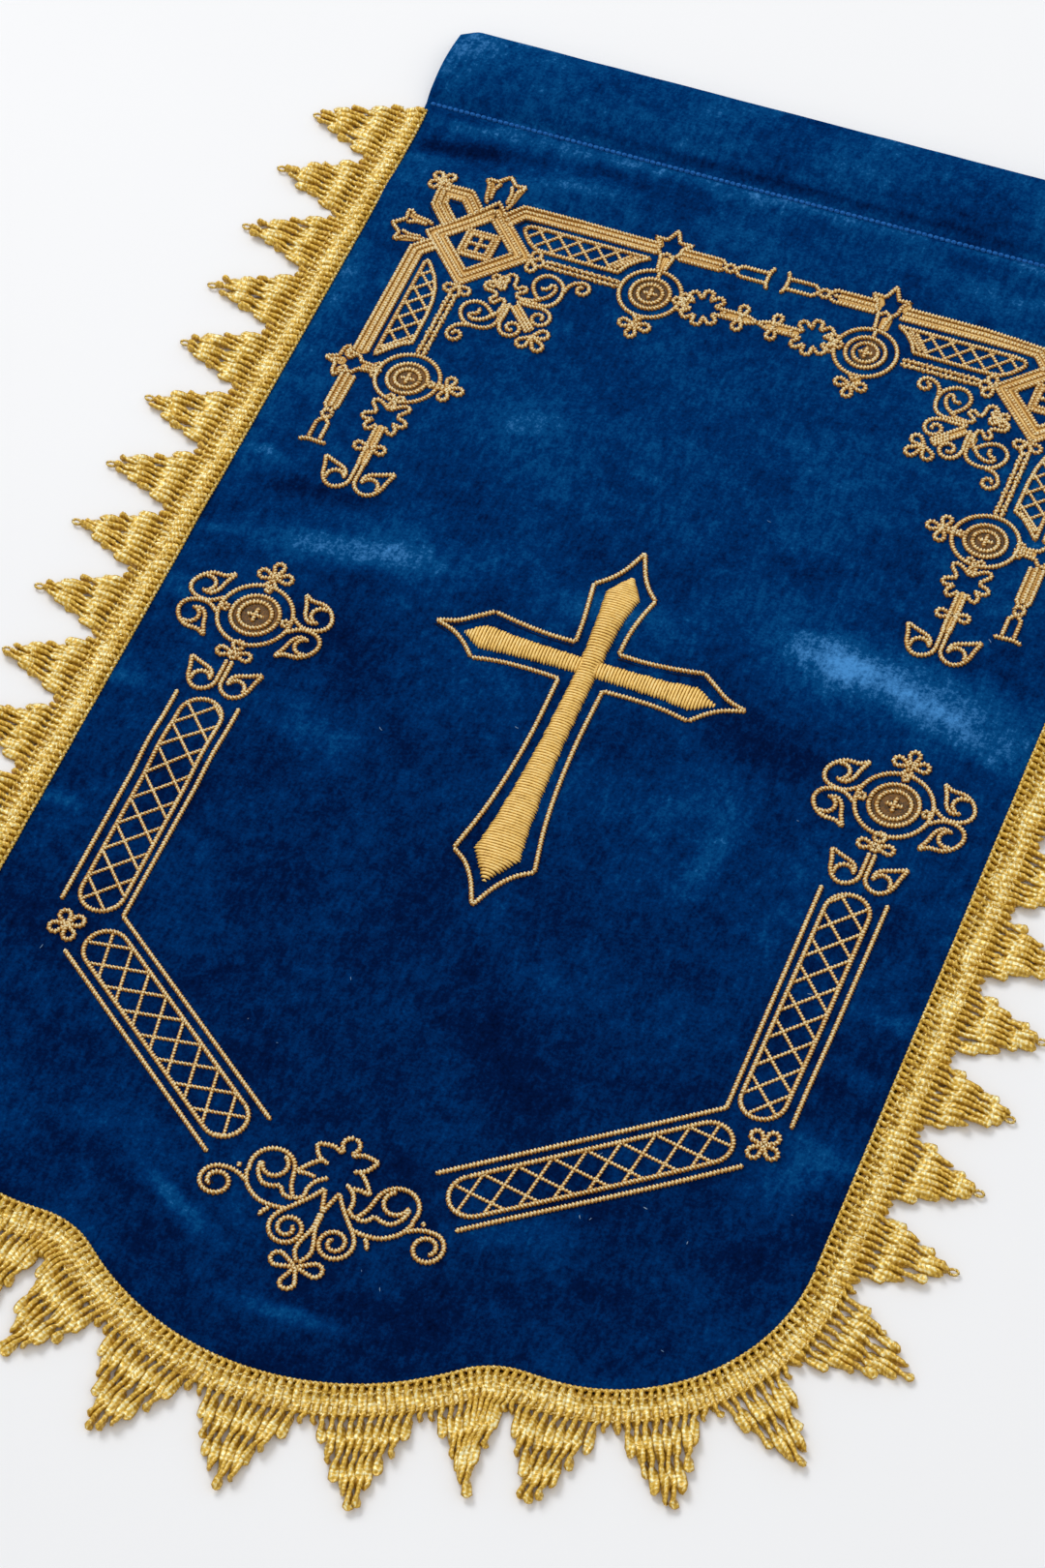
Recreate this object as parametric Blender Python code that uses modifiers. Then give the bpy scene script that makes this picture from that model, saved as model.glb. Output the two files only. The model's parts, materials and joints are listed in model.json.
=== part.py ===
"""A small church banner: a velvet field, a rod sleeve along its top and bullion fringe on three sides.

Metres, +Z up. The banner lies face up on a level surface with its top toward +Y. The origin is the
middle of the whole outline, fringe included, on the surface that it lies on.
"""
import math
import random

import bmesh
import bpy

# Overall sizes
PANEL_LENGTH = 0.7175
FRINGE_REACH = 0.058
OVERALL_LENGTH = PANEL_LENGTH + FRINGE_REACH
CLEARANCE = 0.0003
WELD_DISTANCE = 0.00001
SHARP_ANGLE = math.radians(40)

# Rod sleeve: the cloth's top edge folded over and stitched down, open at both ends
SLEEVE_WIDTH = 0.400
SLEEVE_DEPTH = 0.050
SLEEVE_CLOTH = 0.0022
SLEEVE_CROWN = 0.011
SLEEVE_CROWN_WAVE = 0.0006
SLEEVE_WAVES = 2.5
SLEEVE_WAVE_START = math.radians(57)
SLEEVE_FOLD_HEIGHT = 0.009
SLEEVE_SEAM_HEIGHT = 0.005
SLEEVE_CORNER_CUT = 0.0035
SLEEVE_CORNER_RUN = 0.009
SLEEVE_RINGS = 18
SLEEVE_BOTTOM_STEPS = 5
SLEEVE_FOLD_STEPS = 6
SLEEVE_TOP_STEPS = 9

# Velvet field below the seam
FIELD_WIDTH = 0.396
FIELD_CLOTH = 0.0025
FIELD_COLUMNS = 32
FIELD_ROWS = 42
EDGE_CROWDING = 0.72
CORNER_RADIUS = 0.085
SHOULDER_X = 0.105
LOBE_RADIUS = 0.130
LOBE_DROP = 0.037
SEAM_LIFT = 0.0020
SEAM_LIFT_RUN = 0.026

# Bullion fringe: a heading strip with locks cut to points
FRINGE_THICKNESS = 0.0030
HEADING_DEPTH = 0.013
SIDE_FRINGE_REACH = 0.055
SIDE_POINTS = 14
BOTTOM_POINT_SHARES = (40, 37, 38, 40.5, 43, 43, 43, 42.5, 40.5, 37.5, 34, 32, 39)
LOCKS_PER_POINT = 7
LOCK_FILL = 0.92
LOCK_TIP_FILL = 0.80
EDGE_LOCK_TAPER = 0.35
POINT_CURVE = 1.3
POINT_CONVERGENCE = math.radians(3)
LOBE_LEAN = 0.65
LEAN_BLEND_RUN = 0.085
HANG_WINDOW = 0.024
HANG_SAMPLES = 4
LENGTH_UNEVENNESS = 0.07
SWAY_UNEVENNESS = math.radians(0.6)
FRINGE_TOP_GAP = 0.0055
SIDE_SEED = 3
BOTTOM_SEED = 8

# Places that follow from the sizes
TOP_Y = OVERALL_LENGTH / 2
SEAM_Y = TOP_Y - SLEEVE_DEPTH
BOTTOM_Y = TOP_Y - PANEL_LENGTH
SHOULDER_Y = BOTTOM_Y + LOBE_DROP
COVE_RADIUS = (SHOULDER_X ** 2 + LOBE_DROP ** 2) / (2 * LOBE_DROP) - LOBE_RADIUS
LOBE_TURN = math.asin(SHOULDER_X / (LOBE_RADIUS + COVE_RADIUS))
LOBE_EDGE_X = LOBE_RADIUS * math.sin(LOBE_TURN)
CORNER_X = FIELD_WIDTH / 2 - CORNER_RADIUS
CORNER_Y = SHOULDER_Y + CORNER_RADIUS

# Distances along the cloth's edge from the middle of the lobe
LOBE_END = LOBE_RADIUS * LOBE_TURN
COVE_END = LOBE_END + COVE_RADIUS * LOBE_TURN
SHOULDER_END = COVE_END + CORNER_X - SHOULDER_X
CORNER_END = SHOULDER_END + CORNER_RADIUS * math.pi / 2
SIDE_END = CORNER_END + SEAM_Y - FRINGE_TOP_GAP - CORNER_Y

# Soft folds left by storage and handling, each a low ridge in the cloth:
# middle x, middle y, half length, half width, height, turn in degrees
FOLDS = [
    dict(x=-0.010, y=0.070, length=0.240, width=0.034, height=0.0034, turn=2),
    dict(x=0.120, y=0.076, length=0.120, width=0.026, height=0.0030, turn=-8),
    dict(x=-0.080, y=0.160, length=0.130, width=0.036, height=0.0028, turn=12),
    dict(x=0.095, y=0.168, length=0.100, width=0.030, height=0.0022, turn=-14),
    dict(x=-0.135, y=0.298, length=0.110, width=0.022, height=0.0040, turn=17),
    dict(x=0.060, y=0.300, length=0.140, width=0.020, height=0.0018, turn=-3),
    dict(x=-0.070, y=-0.262, length=0.075, width=0.024, height=0.0028, turn=-30),
    dict(x=0.085, y=-0.236, length=0.085, width=0.024, height=0.0024, turn=26),
    dict(x=0.010, y=-0.300, length=0.080, width=0.018, height=0.0026, turn=2),
    dict(x=-0.160, y=-0.060, length=0.070, width=0.020, height=0.0018, turn=4),
    dict(x=0.165, y=-0.135, length=0.070, width=0.024, height=0.0020, turn=62),
]

MATERIALS = {
    "velvet_cloth": dict(color=(0.008, 0.040, 0.150, 1), roughness=0.85, metallic=0.0),
    "sleeve_cloth": dict(color=(0.010, 0.050, 0.180, 1), roughness=0.85, metallic=0.0),
    "gold_bullion": dict(color=(0.560, 0.380, 0.090, 1), roughness=0.38, metallic=0.8),
}


def clear_scene():
    """Remove whatever the file opened with."""
    for item in list(bpy.data.objects):
        bpy.data.objects.remove(item, do_unlink=True)


def make_material(name):
    """Principled material from its row in MATERIALS."""
    values = MATERIALS[name]
    material = bpy.data.materials.new(name)
    material.use_nodes = True
    shader = material.node_tree.nodes["Principled BSDF"]
    shader.inputs["Base Color"].default_value = values["color"]
    shader.inputs["Roughness"].default_value = values["roughness"]
    shader.inputs["Metallic"].default_value = values["metallic"]
    return material


def finish_object(name, mesh, collection, material):
    """Put a finished mesh into the collection as one named, smooth-shaded part."""
    part = bpy.data.objects.new(name, mesh)
    collection.objects.link(part)
    mesh.materials.clear()
    mesh.materials.append(material)
    mesh.shade_smooth()
    mesh.set_sharp_from_angle(angle=SHARP_ANGLE)
    return part


def thickened(mesh, thickness, offset):
    """Mesh of an open surface given its cloth thickness by a Solidify modifier."""
    shell = bpy.data.objects.new("open_surface", mesh)
    bpy.context.scene.collection.objects.link(shell)
    solidify = shell.modifiers.new("thickness", "SOLIDIFY")
    solidify.thickness = thickness
    solidify.offset = offset
    solidify.use_even_offset = True
    graph = bpy.context.evaluated_depsgraph_get()
    solid = bpy.data.meshes.new_from_object(shell.evaluated_get(graph))
    bpy.data.objects.remove(shell, do_unlink=True)
    return solid


def ease(value):
    """Smooth bump: 1 at zero, level there, and 0 from one outward."""
    return 0.5 * (1 + math.cos(math.pi * min(abs(value), 1.0)))


def cloth_height(x, y):
    """Height of the cloth's underside over the surface: the folds and the lift at the seam."""
    height = SEAM_LIFT * ease((SEAM_Y - y) / SEAM_LIFT_RUN)
    for fold in FOLDS:
        turn = math.radians(fold["turn"])
        along = (x - fold["x"]) * math.cos(turn) + (y - fold["y"]) * math.sin(turn)
        across = (y - fold["y"]) * math.cos(turn) - (x - fold["x"]) * math.sin(turn)
        ridge = fold["height"] * ease(along / fold["length"]) * ease(across / fold["width"])
        height = max(height, ridge)
    return height


def edge_point(distance):
    """Point on the cloth's edge and its outward angle, by the distance along it from the lobe.

    The angle is 0 straight down the banner and a quarter turn out to the right.
    """
    side = math.copysign(1.0, distance)
    run = abs(distance)
    if run <= LOBE_END:
        angle = run / LOBE_RADIUS
        x = LOBE_RADIUS * math.sin(angle)
        y = BOTTOM_Y + LOBE_RADIUS * (1 - math.cos(angle))
    elif run <= COVE_END:
        angle = LOBE_TURN - (run - LOBE_END) / COVE_RADIUS
        x = SHOULDER_X - COVE_RADIUS * math.sin(angle)
        y = SHOULDER_Y - COVE_RADIUS * (1 - math.cos(angle))
    elif run <= SHOULDER_END:
        angle = 0.0
        x = SHOULDER_X + run - COVE_END
        y = SHOULDER_Y
    elif run <= CORNER_END:
        angle = (run - SHOULDER_END) / CORNER_RADIUS
        x = CORNER_X + CORNER_RADIUS * math.sin(angle)
        y = CORNER_Y - CORNER_RADIUS * math.cos(angle)
    else:
        angle = math.pi / 2
        x = FIELD_WIDTH / 2
        y = CORNER_Y + run - CORNER_END
    return side * x, y, side * angle


def lower_edge(x):
    """Y and outward angle of the field's lower edge at a given x."""
    side = math.copysign(1.0, x)
    x = abs(x)
    if x <= LOBE_EDGE_X:
        angle = math.asin(x / LOBE_RADIUS)
        y = BOTTOM_Y + LOBE_RADIUS * (1 - math.cos(angle))
    elif x <= SHOULDER_X:
        angle = math.asin((SHOULDER_X - x) / COVE_RADIUS)
        y = SHOULDER_Y - COVE_RADIUS * (1 - math.cos(angle))
    elif x <= CORNER_X:
        angle = 0.0
        y = SHOULDER_Y
    else:
        angle = math.asin(min((x - CORNER_X) / CORNER_RADIUS, 1.0))
        y = CORNER_Y - CORNER_RADIUS * math.cos(angle)
    return y, side * angle


def column_x(place):
    """X of a grid column, from -1 at the left edge to 1 at the right, closer together at the edges."""
    crowding = EDGE_CROWDING * math.pi / 2
    return FIELD_WIDTH / 2 * math.sin(place * crowding) / math.sin(crowding)


def build_field(collection):
    """Velvet field: a grid stretched to the outline, thickened, then lifted into its folds."""
    surface = bmesh.new()
    bmesh.ops.create_grid(surface, x_segments=FIELD_COLUMNS, y_segments=FIELD_ROWS, size=1.0)
    top = SEAM_Y - CLEARANCE
    for vert in surface.verts:
        x = column_x(vert.co.x)
        bottom = lower_edge(x)[0]
        vert.co.y = bottom + (vert.co.y + 1) / 2 * (top - bottom)
        vert.co.x = x
    mesh = bpy.data.meshes.new("field_surface")
    surface.to_mesh(mesh)
    surface.free()
    solid = thickened(mesh, FIELD_CLOTH, 1.0)
    for vert in solid.vertices:
        vert.co.z += cloth_height(vert.co.x, vert.co.y)
    return finish_object("velvet_field", solid, collection, make_material("velvet_cloth"))


def sleeve_ring(x):
    """Points of the sleeve's outer section at one x: under side, fold, top side, seam edge."""
    overhang = SLEEVE_WIDTH / 2 - abs(x)
    depth = SLEEVE_DEPTH - SLEEVE_CORNER_CUT * ease(overhang / SLEEVE_CORNER_RUN)
    wave = math.sin(math.tau * SLEEVE_WAVES * x / SLEEVE_WIDTH + SLEEVE_WAVE_START)
    crown = SLEEVE_CROWN + SLEEVE_CROWN_WAVE * wave
    mean_height = (SLEEVE_FOLD_HEIGHT + SLEEVE_SEAM_HEIGHT) / 2
    radius = SLEEVE_FOLD_HEIGHT / 2
    flat = depth - radius
    points = []
    for step in range(SLEEVE_BOTTOM_STEPS):
        points.append((x, SEAM_Y + flat * step / SLEEVE_BOTTOM_STEPS, 0.0))
    for step in range(SLEEVE_FOLD_STEPS + 1):
        turn = math.pi * step / SLEEVE_FOLD_STEPS
        points.append((x, SEAM_Y + flat + radius * math.sin(turn), radius * (1 - math.cos(turn))))
    for step in range(1, SLEEVE_TOP_STEPS + 1):
        share = step / SLEEVE_TOP_STEPS
        straight = SLEEVE_FOLD_HEIGHT + (SLEEVE_SEAM_HEIGHT - SLEEVE_FOLD_HEIGHT) * share
        puff = (crown - mean_height) * math.sin(math.pi * share)
        points.append((x, SEAM_Y + flat * (1 - share), straight + puff))
    return points


def build_sleeve(collection):
    """Rod sleeve: rings of its outer section joined into a tube, thickened inward."""
    surface = bmesh.new()
    rings = []
    half = SLEEVE_WIDTH / 2
    for index in range(SLEEVE_RINGS + 1):
        x = half * math.sin(math.pi / 2 * (2 * index / SLEEVE_RINGS - 1))
        rings.append([surface.verts.new(point) for point in sleeve_ring(x)])
    count = len(rings[0])
    for ring, following in zip(rings, rings[1:]):
        for index in range(count):
            near = (index + 1) % count
            surface.faces.new((ring[index], ring[near], following[near], following[index]))
    bmesh.ops.recalc_face_normals(surface, faces=surface.faces)
    mesh = bpy.data.meshes.new("sleeve_surface")
    surface.to_mesh(mesh)
    surface.free()
    solid = thickened(mesh, SLEEVE_CLOTH, -1.0)
    return finish_object("rod_sleeve", solid, collection, make_material("sleeve_cloth"))


def along_edge(distance, depth):
    """Point at a depth outside the cloth's edge, square to it."""
    x, y, angle = edge_point(distance)
    return x + depth * math.sin(angle), y - depth * math.cos(angle)


def hang_angle(distance):
    """Direction in which the strands of a point lie: the edge's own angle evened out along it.

    Below the lobe the strands splay less than the edge turns.
    """
    spacing = HANG_WINDOW / HANG_SAMPLES
    places = range(-HANG_SAMPLES, HANG_SAMPLES + 1)
    angles = [edge_point(distance + spacing * place)[2] for place in places]
    blend = min(max((abs(distance) - COVE_END) / LEAN_BLEND_RUN, 0.0), 1.0)
    return sum(angles) / len(angles) * (LOBE_LEAN + (1 - LOBE_LEAN) * blend)


def lock_corners(start, width, place, axis, reach, chance):
    """Four corners of one lock of strands: out along one side, back along the other."""
    middle = start + width / 2
    share = 1 - abs(place) ** POINT_CURVE
    length = (reach - HEADING_DEPTH) * share
    if place:
        length *= 1 - LENGTH_UNEVENNESS * chance.random()
    angle = axis - POINT_CONVERGENCE * place + SWAY_UNEVENNESS * place * chance.uniform(-1, 1)
    root_x, root_y = along_edge(middle, HEADING_DEPTH)
    tip_x = root_x + length * math.sin(angle)
    tip_y = root_y - length * math.cos(angle)
    near = along_edge(middle - width * LOCK_FILL / 2, HEADING_DEPTH)
    far = along_edge(middle + width * LOCK_FILL / 2, HEADING_DEPTH)
    half_tip = math.dist(near, far) / 2 * LOCK_TIP_FILL * (1 - EDGE_LOCK_TAPER * abs(place))
    across_x = half_tip * math.cos(angle)
    across_y = half_tip * math.sin(angle)
    return [near, (tip_x - across_x, tip_y - across_y), (tip_x + across_x, tip_y + across_y), far]


def straight_sewn_edge(start, end, steps):
    """Sewn edge of a fringe along a straight side."""
    return [along_edge(start + (end - start) * step / steps, CLEARANCE) for step in range(steps + 1)]


def curved_sewn_edge():
    """Sewn edge of the lower fringe, with a point beside each corner of the field's edge."""
    points = []
    for column in range(FIELD_COLUMNS + 1):
        x = column_x(2 * column / FIELD_COLUMNS - 1)
        y, angle = lower_edge(x)
        points.append((x + CLEARANCE * math.sin(angle), y - CLEARANCE * math.cos(angle)))
    return points


def fringe_outline(sewn_edge, start, end, point_shares, reach, seed):
    """Outline of one length of fringe: its sewn edge, then the locks of each point on the way back.

    The points take their shares of the run from start to end, in order.
    """
    chance = random.Random(seed)
    outer = [along_edge(start, HEADING_DEPTH)]
    first = start
    for share in point_shares:
        pitch = (end - start) * share / sum(point_shares)
        width = pitch / LOCKS_PER_POINT
        axis = hang_angle(first + pitch / 2)
        for lock in range(LOCKS_PER_POINT):
            place = (2 * lock + 1 - LOCKS_PER_POINT) / LOCKS_PER_POINT
            outer += lock_corners(first + width * lock, width, place, axis, reach, chance)
        first += pitch
    outer.append(along_edge(end, HEADING_DEPTH))
    return sewn_edge + outer[::-1]


def build_fringe(name, outline, collection, material):
    """One length of fringe as a filled flat outline, level on the surface."""
    curve = bpy.data.curves.new(name, "CURVE")
    curve.dimensions = "2D"
    curve.fill_mode = "BOTH"
    curve.extrude = FRINGE_THICKNESS / 2
    spline = curve.splines.new("POLY")
    spline.points.add(len(outline) - 1)
    for slot, (x, y) in zip(spline.points, outline):
        slot.co = (x, y, 0.0, 1.0)
    spline.use_cyclic_u = True
    part = bpy.data.objects.new(name, curve)
    part.location.z = FRINGE_THICKNESS / 2
    collection.objects.link(part)
    curve.materials.append(material)
    weld = part.modifiers.new("joined_caps", "WELD")
    weld.merge_threshold = WELD_DISTANCE
    return part


def main():
    """Model the banner's five pieces in a collection of their own."""
    clear_scene()
    collection = bpy.data.collections.new("church_banner")
    bpy.context.scene.collection.children.link(collection)
    build_field(collection)
    build_sleeve(collection)
    bullion = make_material("gold_bullion")
    side_start = CORNER_END + CLEARANCE
    side_edge = straight_sewn_edge(side_start, SIDE_END, SIDE_POINTS)
    side_shares = (1,) * SIDE_POINTS
    side = fringe_outline(side_edge, side_start, SIDE_END, side_shares, SIDE_FRINGE_REACH, SIDE_SEED)
    bottom = fringe_outline(
        curved_sewn_edge(), -CORNER_END, CORNER_END, BOTTOM_POINT_SHARES, FRINGE_REACH, BOTTOM_SEED
    )
    mirrored = [(-x, y) for x, y in side]
    build_fringe("fringe_right", side, collection, bullion)
    build_fringe("fringe_left", mirrored[::-1], collection, bullion)
    build_fringe("fringe_bottom", bottom, collection, bullion)


main()
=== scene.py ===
"""Dresses the church banner: velvet cloth, gold embroidery, a satin-stitch cross and bullion fringe.

Metres, +Z up, the banner face up with its top toward +Y, as in the packed model. Ornament is laid
out in millimetres from the point DESIGN_Y below, and then draped on the cloth.
"""

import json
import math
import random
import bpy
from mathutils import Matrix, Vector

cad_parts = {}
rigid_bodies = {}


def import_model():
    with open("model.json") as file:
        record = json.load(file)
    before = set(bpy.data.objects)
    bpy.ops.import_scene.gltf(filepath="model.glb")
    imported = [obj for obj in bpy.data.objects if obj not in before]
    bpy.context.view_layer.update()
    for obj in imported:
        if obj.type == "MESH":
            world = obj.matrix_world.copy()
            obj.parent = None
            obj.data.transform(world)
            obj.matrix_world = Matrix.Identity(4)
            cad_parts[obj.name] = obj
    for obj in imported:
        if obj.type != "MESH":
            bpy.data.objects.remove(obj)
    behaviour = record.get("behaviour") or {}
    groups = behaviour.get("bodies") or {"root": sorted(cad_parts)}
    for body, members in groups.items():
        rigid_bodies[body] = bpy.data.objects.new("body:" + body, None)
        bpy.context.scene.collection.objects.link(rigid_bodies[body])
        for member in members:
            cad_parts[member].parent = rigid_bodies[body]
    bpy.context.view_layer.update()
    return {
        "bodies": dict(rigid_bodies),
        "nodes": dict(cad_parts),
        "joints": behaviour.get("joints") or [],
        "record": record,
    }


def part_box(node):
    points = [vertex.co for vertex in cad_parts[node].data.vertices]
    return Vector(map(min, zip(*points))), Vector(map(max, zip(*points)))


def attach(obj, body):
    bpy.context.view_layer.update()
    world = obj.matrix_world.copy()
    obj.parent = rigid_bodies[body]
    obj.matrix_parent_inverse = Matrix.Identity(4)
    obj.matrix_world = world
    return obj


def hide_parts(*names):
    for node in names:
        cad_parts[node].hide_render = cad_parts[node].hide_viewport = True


bl_info = {
    "name": "Church Banner",
    "version": (1, 0, 0),
    "blender": (4, 5, 0),
    "location": "View3D > Sidebar > Banner",
    "description": "Velvet, gold embroidery, bullion fringe and stage for a small church banner",
    "category": "Object",
}

import bpy
import numpy as np
from bpy.props import FloatProperty, FloatVectorProperty, IntProperty, PointerProperty
from bpy.types import NodeSocket, Operator, Panel, PropertyGroup
from mathutils import Quaternion, Vector, noise

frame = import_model()
FIELD_LOW, FIELD_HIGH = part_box("velvet_field")
SLEEVE_LOW, SLEEVE_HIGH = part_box("rod_sleeve")

MM = 0.001
DESIGN_Y = -24.75

# Cloth, as in the solids
FIELD_WIDTH = 0.396
SLEEVE_WIDTH = 0.400
SLEEVE_DEPTH = 0.050
SLEEVE_CROWN = 0.011
SLEEVE_CROWN_WAVE = 0.0006
SLEEVE_WAVES = 2.5
SLEEVE_WAVE_START = math.radians(57)
SLEEVE_FOLD_HEIGHT = 0.009
SLEEVE_SEAM_HEIGHT = 0.005
SLEEVE_CORNER_CUT = 0.0035
SLEEVE_CORNER_RUN = 0.009
FIELD_CLOTH = 0.0025
EDGE_CROWDING = 0.72
CORNER_RADIUS = 0.085
SHOULDER_X = 0.105
LOBE_RADIUS = 0.130
LOBE_DROP = 0.037
SEAM_LIFT = 0.0020
SEAM_LIFT_RUN = 0.026
TOP_Y = SLEEVE_HIGH.y
SEAM_Y = TOP_Y - SLEEVE_DEPTH
BOTTOM_Y = FIELD_LOW.y
SHOULDER_Y = BOTTOM_Y + LOBE_DROP
COVE_RADIUS = (SHOULDER_X ** 2 + LOBE_DROP ** 2) / (2 * LOBE_DROP) - LOBE_RADIUS
LOBE_TURN = math.asin(SHOULDER_X / (LOBE_RADIUS + COVE_RADIUS))
LOBE_EDGE_X = LOBE_RADIUS * math.sin(LOBE_TURN)
CORNER_X = FIELD_WIDTH / 2 - CORNER_RADIUS
CORNER_Y = SHOULDER_Y + CORNER_RADIUS
LOBE_END = LOBE_RADIUS * LOBE_TURN
COVE_END = LOBE_END + COVE_RADIUS * LOBE_TURN
SHOULDER_END = COVE_END + CORNER_X - SHOULDER_X
CORNER_END = SHOULDER_END + CORNER_RADIUS * math.pi / 2

# Fringe, as in the solids
FRINGE_REACH = 0.058
SIDE_FRINGE_REACH = 0.055
HEADING_DEPTH = 0.013
FRINGE_TOP_GAP = 0.0055
SIDE_END = CORNER_END + SEAM_Y - FRINGE_TOP_GAP - CORNER_Y
SIDE_POINT_SHARES = (1,) * 14
BOTTOM_POINT_SHARES = (40, 37, 38, 40.5, 43, 43, 43, 42.5, 40.5, 37.5, 34, 32, 39)
POINT_CURVE = 1.3
POINT_CONVERGENCE = math.radians(3)
LOBE_LEAN = 0.65
LEAN_BLEND_RUN = 0.085
HANG_WINDOW = 0.024
HANG_SAMPLES = 4

# The solids' folds: middle x, middle y, half length, half width, height, turn in degrees
FOLDS = [
    (-0.010, 0.070, 0.240, 0.034, 0.0034, 2),
    (0.120, 0.076, 0.120, 0.026, 0.0030, -8),
    (-0.080, 0.160, 0.130, 0.036, 0.0028, 12),
    (0.095, 0.168, 0.100, 0.030, 0.0022, -14),
    (-0.135, 0.298, 0.110, 0.022, 0.0040, 17),
    (0.060, 0.300, 0.140, 0.020, 0.0018, -3),
    (-0.070, -0.262, 0.075, 0.024, 0.0028, -30),
    (0.085, -0.236, 0.085, 0.024, 0.0024, 26),
    (0.010, -0.300, 0.080, 0.018, 0.0026, 2),
    (-0.160, -0.060, 0.070, 0.020, 0.0018, 4),
    (0.165, -0.135, 0.070, 0.024, 0.0020, 62),
]

# Small puckers between the folds, in millimetres of the design: x, y, half length, half width,
# height (below zero for a trough), turn in degrees
PUCKERS = [
    (-172, 336, 34, 7, -0.9, 17),
    (-188, 130, 26, 6, 0.8, 4),
    (-184, 105, 30, 6, -0.7, 8),
    (-186, 85, 26, 6, 0.7, 3),
    (-186, 50, 22, 6, 0.6, -4),
    (-188, -5, 24, 6, 0.6, 3),
    (-186, -35, 22, 6, -0.5, 6),
    (-188, -75, 22, 6, 0.6, 0),
    (186, -90, 24, 6, 0.7, -8),
    (184, -130, 22, 6, 0.6, -14),
    (40, 118, 60, 9, -0.6, 4),
    (-60, 142, 70, 10, -0.7, -6),
    (120, 150, 50, 9, -0.6, 8),
    (-20, 348, 150, 6, -0.6, 0),
    (110, 335, 60, 7, 0.6, -5),
    (-20, -160, 60, 12, 0.5, -12),
    (60, 10, 40, 14, 0.5, 20),
    (-100, 20, 40, 14, 0.5, -18),
]

# Painted sheen and shade up the banner: y in millimetres of the design, and share of full brightness
NAP_SHEEN_RUN = [
    (-310, 0.28), (-240, 0.34), (-150, 0.33), (-60, 0.35), (0, 0.41), (60, 0.42), (120, 0.47),
    (200, 0.50), (300, 0.50), (350, 0.50), (372, 0.56), (395, 0.54), (410, 0.58),
]

# Patches of painted sheen and shade, brighter over folds, darker in troughs and above the seam, in
# millimetres of the design: x, y, half length, half width, strength, turn in degrees
NAP_SHEEN_PATCHES = [
    (-40, 357, 150, 7, 0.13, 0),
    (-105, 356, 80, 6, 0.08, 2),
    (110, 358, 90, 5, 0.12, -1),
    (0, 368, 215, 4, -0.22, 0),
    (0, 359, 215, 4, 0.08, 0),
    (-172, 353, 34, 5, 0.16, 6),
    (-116, 333, 44, 9, 0.14, 10),
    (-168, 340, 46, 8, -0.38, 10),
    (-190, 329, 18, 5, 0.16, 10),
    (-110, 347, 40, 5, -0.12, 8),
    (-30, 345, 70, 8, -0.02, -4),
    (90, 340, 70, 12, 0.12, -8),
    (-193, 246, 62, 9, 0.14, 90),
    (-187, 135, 26, 6, 0.22, -6),
    (-150, 121, 56, 9, -0.22, 4),
    (-125, 94, 84, 14, 0.26, 8),
    (-85, 190, 36, 20, 0.10, 4),
    (112, 190, 40, 20, 0.07, -6),
    (72, 156, 34, 15, -0.15, 8),
    (-50, 140, 110, 22, -0.08, 0),
    (104, 110, 52, 20, 0.13, -4),
    (132, 102, 84, 15, 0.19, -12),
    (140, 104, 112, 34, 0.24, -10),
    (180, 84, 26, 10, 0.20, -18),
    (150, 130, 50, 10, -0.12, -14),
    (0, 100, 70, 16, 0.18, 2),
    (86, 57, 50, 22, -0.16, 0),
    (-106, 38, 46, 32, -0.20, 0),
    (85, -6, 50, 13, 0.24, 85),
    (-95, -6, 34, 13, 0.10, -8),
    (-92, -95, 60, 46, -0.02, 0),
    (34, -130, 56, 42, -0.09, 0),
    (128, -30, 30, 22, 0.08, 20),
    (168, -150, 48, 22, 0.14, 62),
    (-150, -168, 50, 22, 0.06, -34),
    (-58, -244, 42, 8, 0.34, -28),
    (-82, -220, 34, 18, 0.12, -34),
    (84, -206, 44, 14, 0.12, 22),
    (104, -232, 40, 16, -0.08, 20),
    (12, -277, 42, 6, 0.32, 3),
    (-84, -271, 20, 7, 0.10, -22),
    (40, -262, 46, 9, -0.10, 10),
    (-186, 86, 30, 6, 0.16, 4),
    (-186, 48, 24, 7, 0.18, -4),
    (-188, -6, 26, 7, 0.24, 3),
    (-188, -76, 24, 7, 0.22, 0),
    (186, -60, 24, 7, 0.20, 4),
    (186, -92, 26, 8, 0.26, -8),
    (184, -132, 24, 8, 0.22, -14),
    (-186, 392, 30, 22, 0.12, 70),
    (120, 396, 70, 14, 0.10, -4),
    (50, 376, 120, 6, -0.08, 0),
]

BODY = "root"


def to_linear(hex_color):
    """Linear colour of an sRGB hex value."""
    values = [int(hex_color[place:place + 2], 16) / 255 for place in (1, 3, 5)]
    return tuple(v / 12.92 if v <= 0.04045 else ((v + 0.055) / 1.055) ** 2.4 for v in values)


def opaque(color):
    """Colour with its alpha."""
    return (*color, 1.0)


def color_property(name, description, hex_color):
    """Colour setting with a default given as sRGB hex."""
    return FloatVectorProperty(
        name=name, description=description, default=to_linear(hex_color), subtype="COLOR", min=0, max=1
    )


def length_property(name, description, default):
    """Length setting in metres."""
    return FloatProperty(
        name=name, description=description, default=default, min=0, subtype="DISTANCE", unit="LENGTH",
        precision=5,
    )


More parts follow.
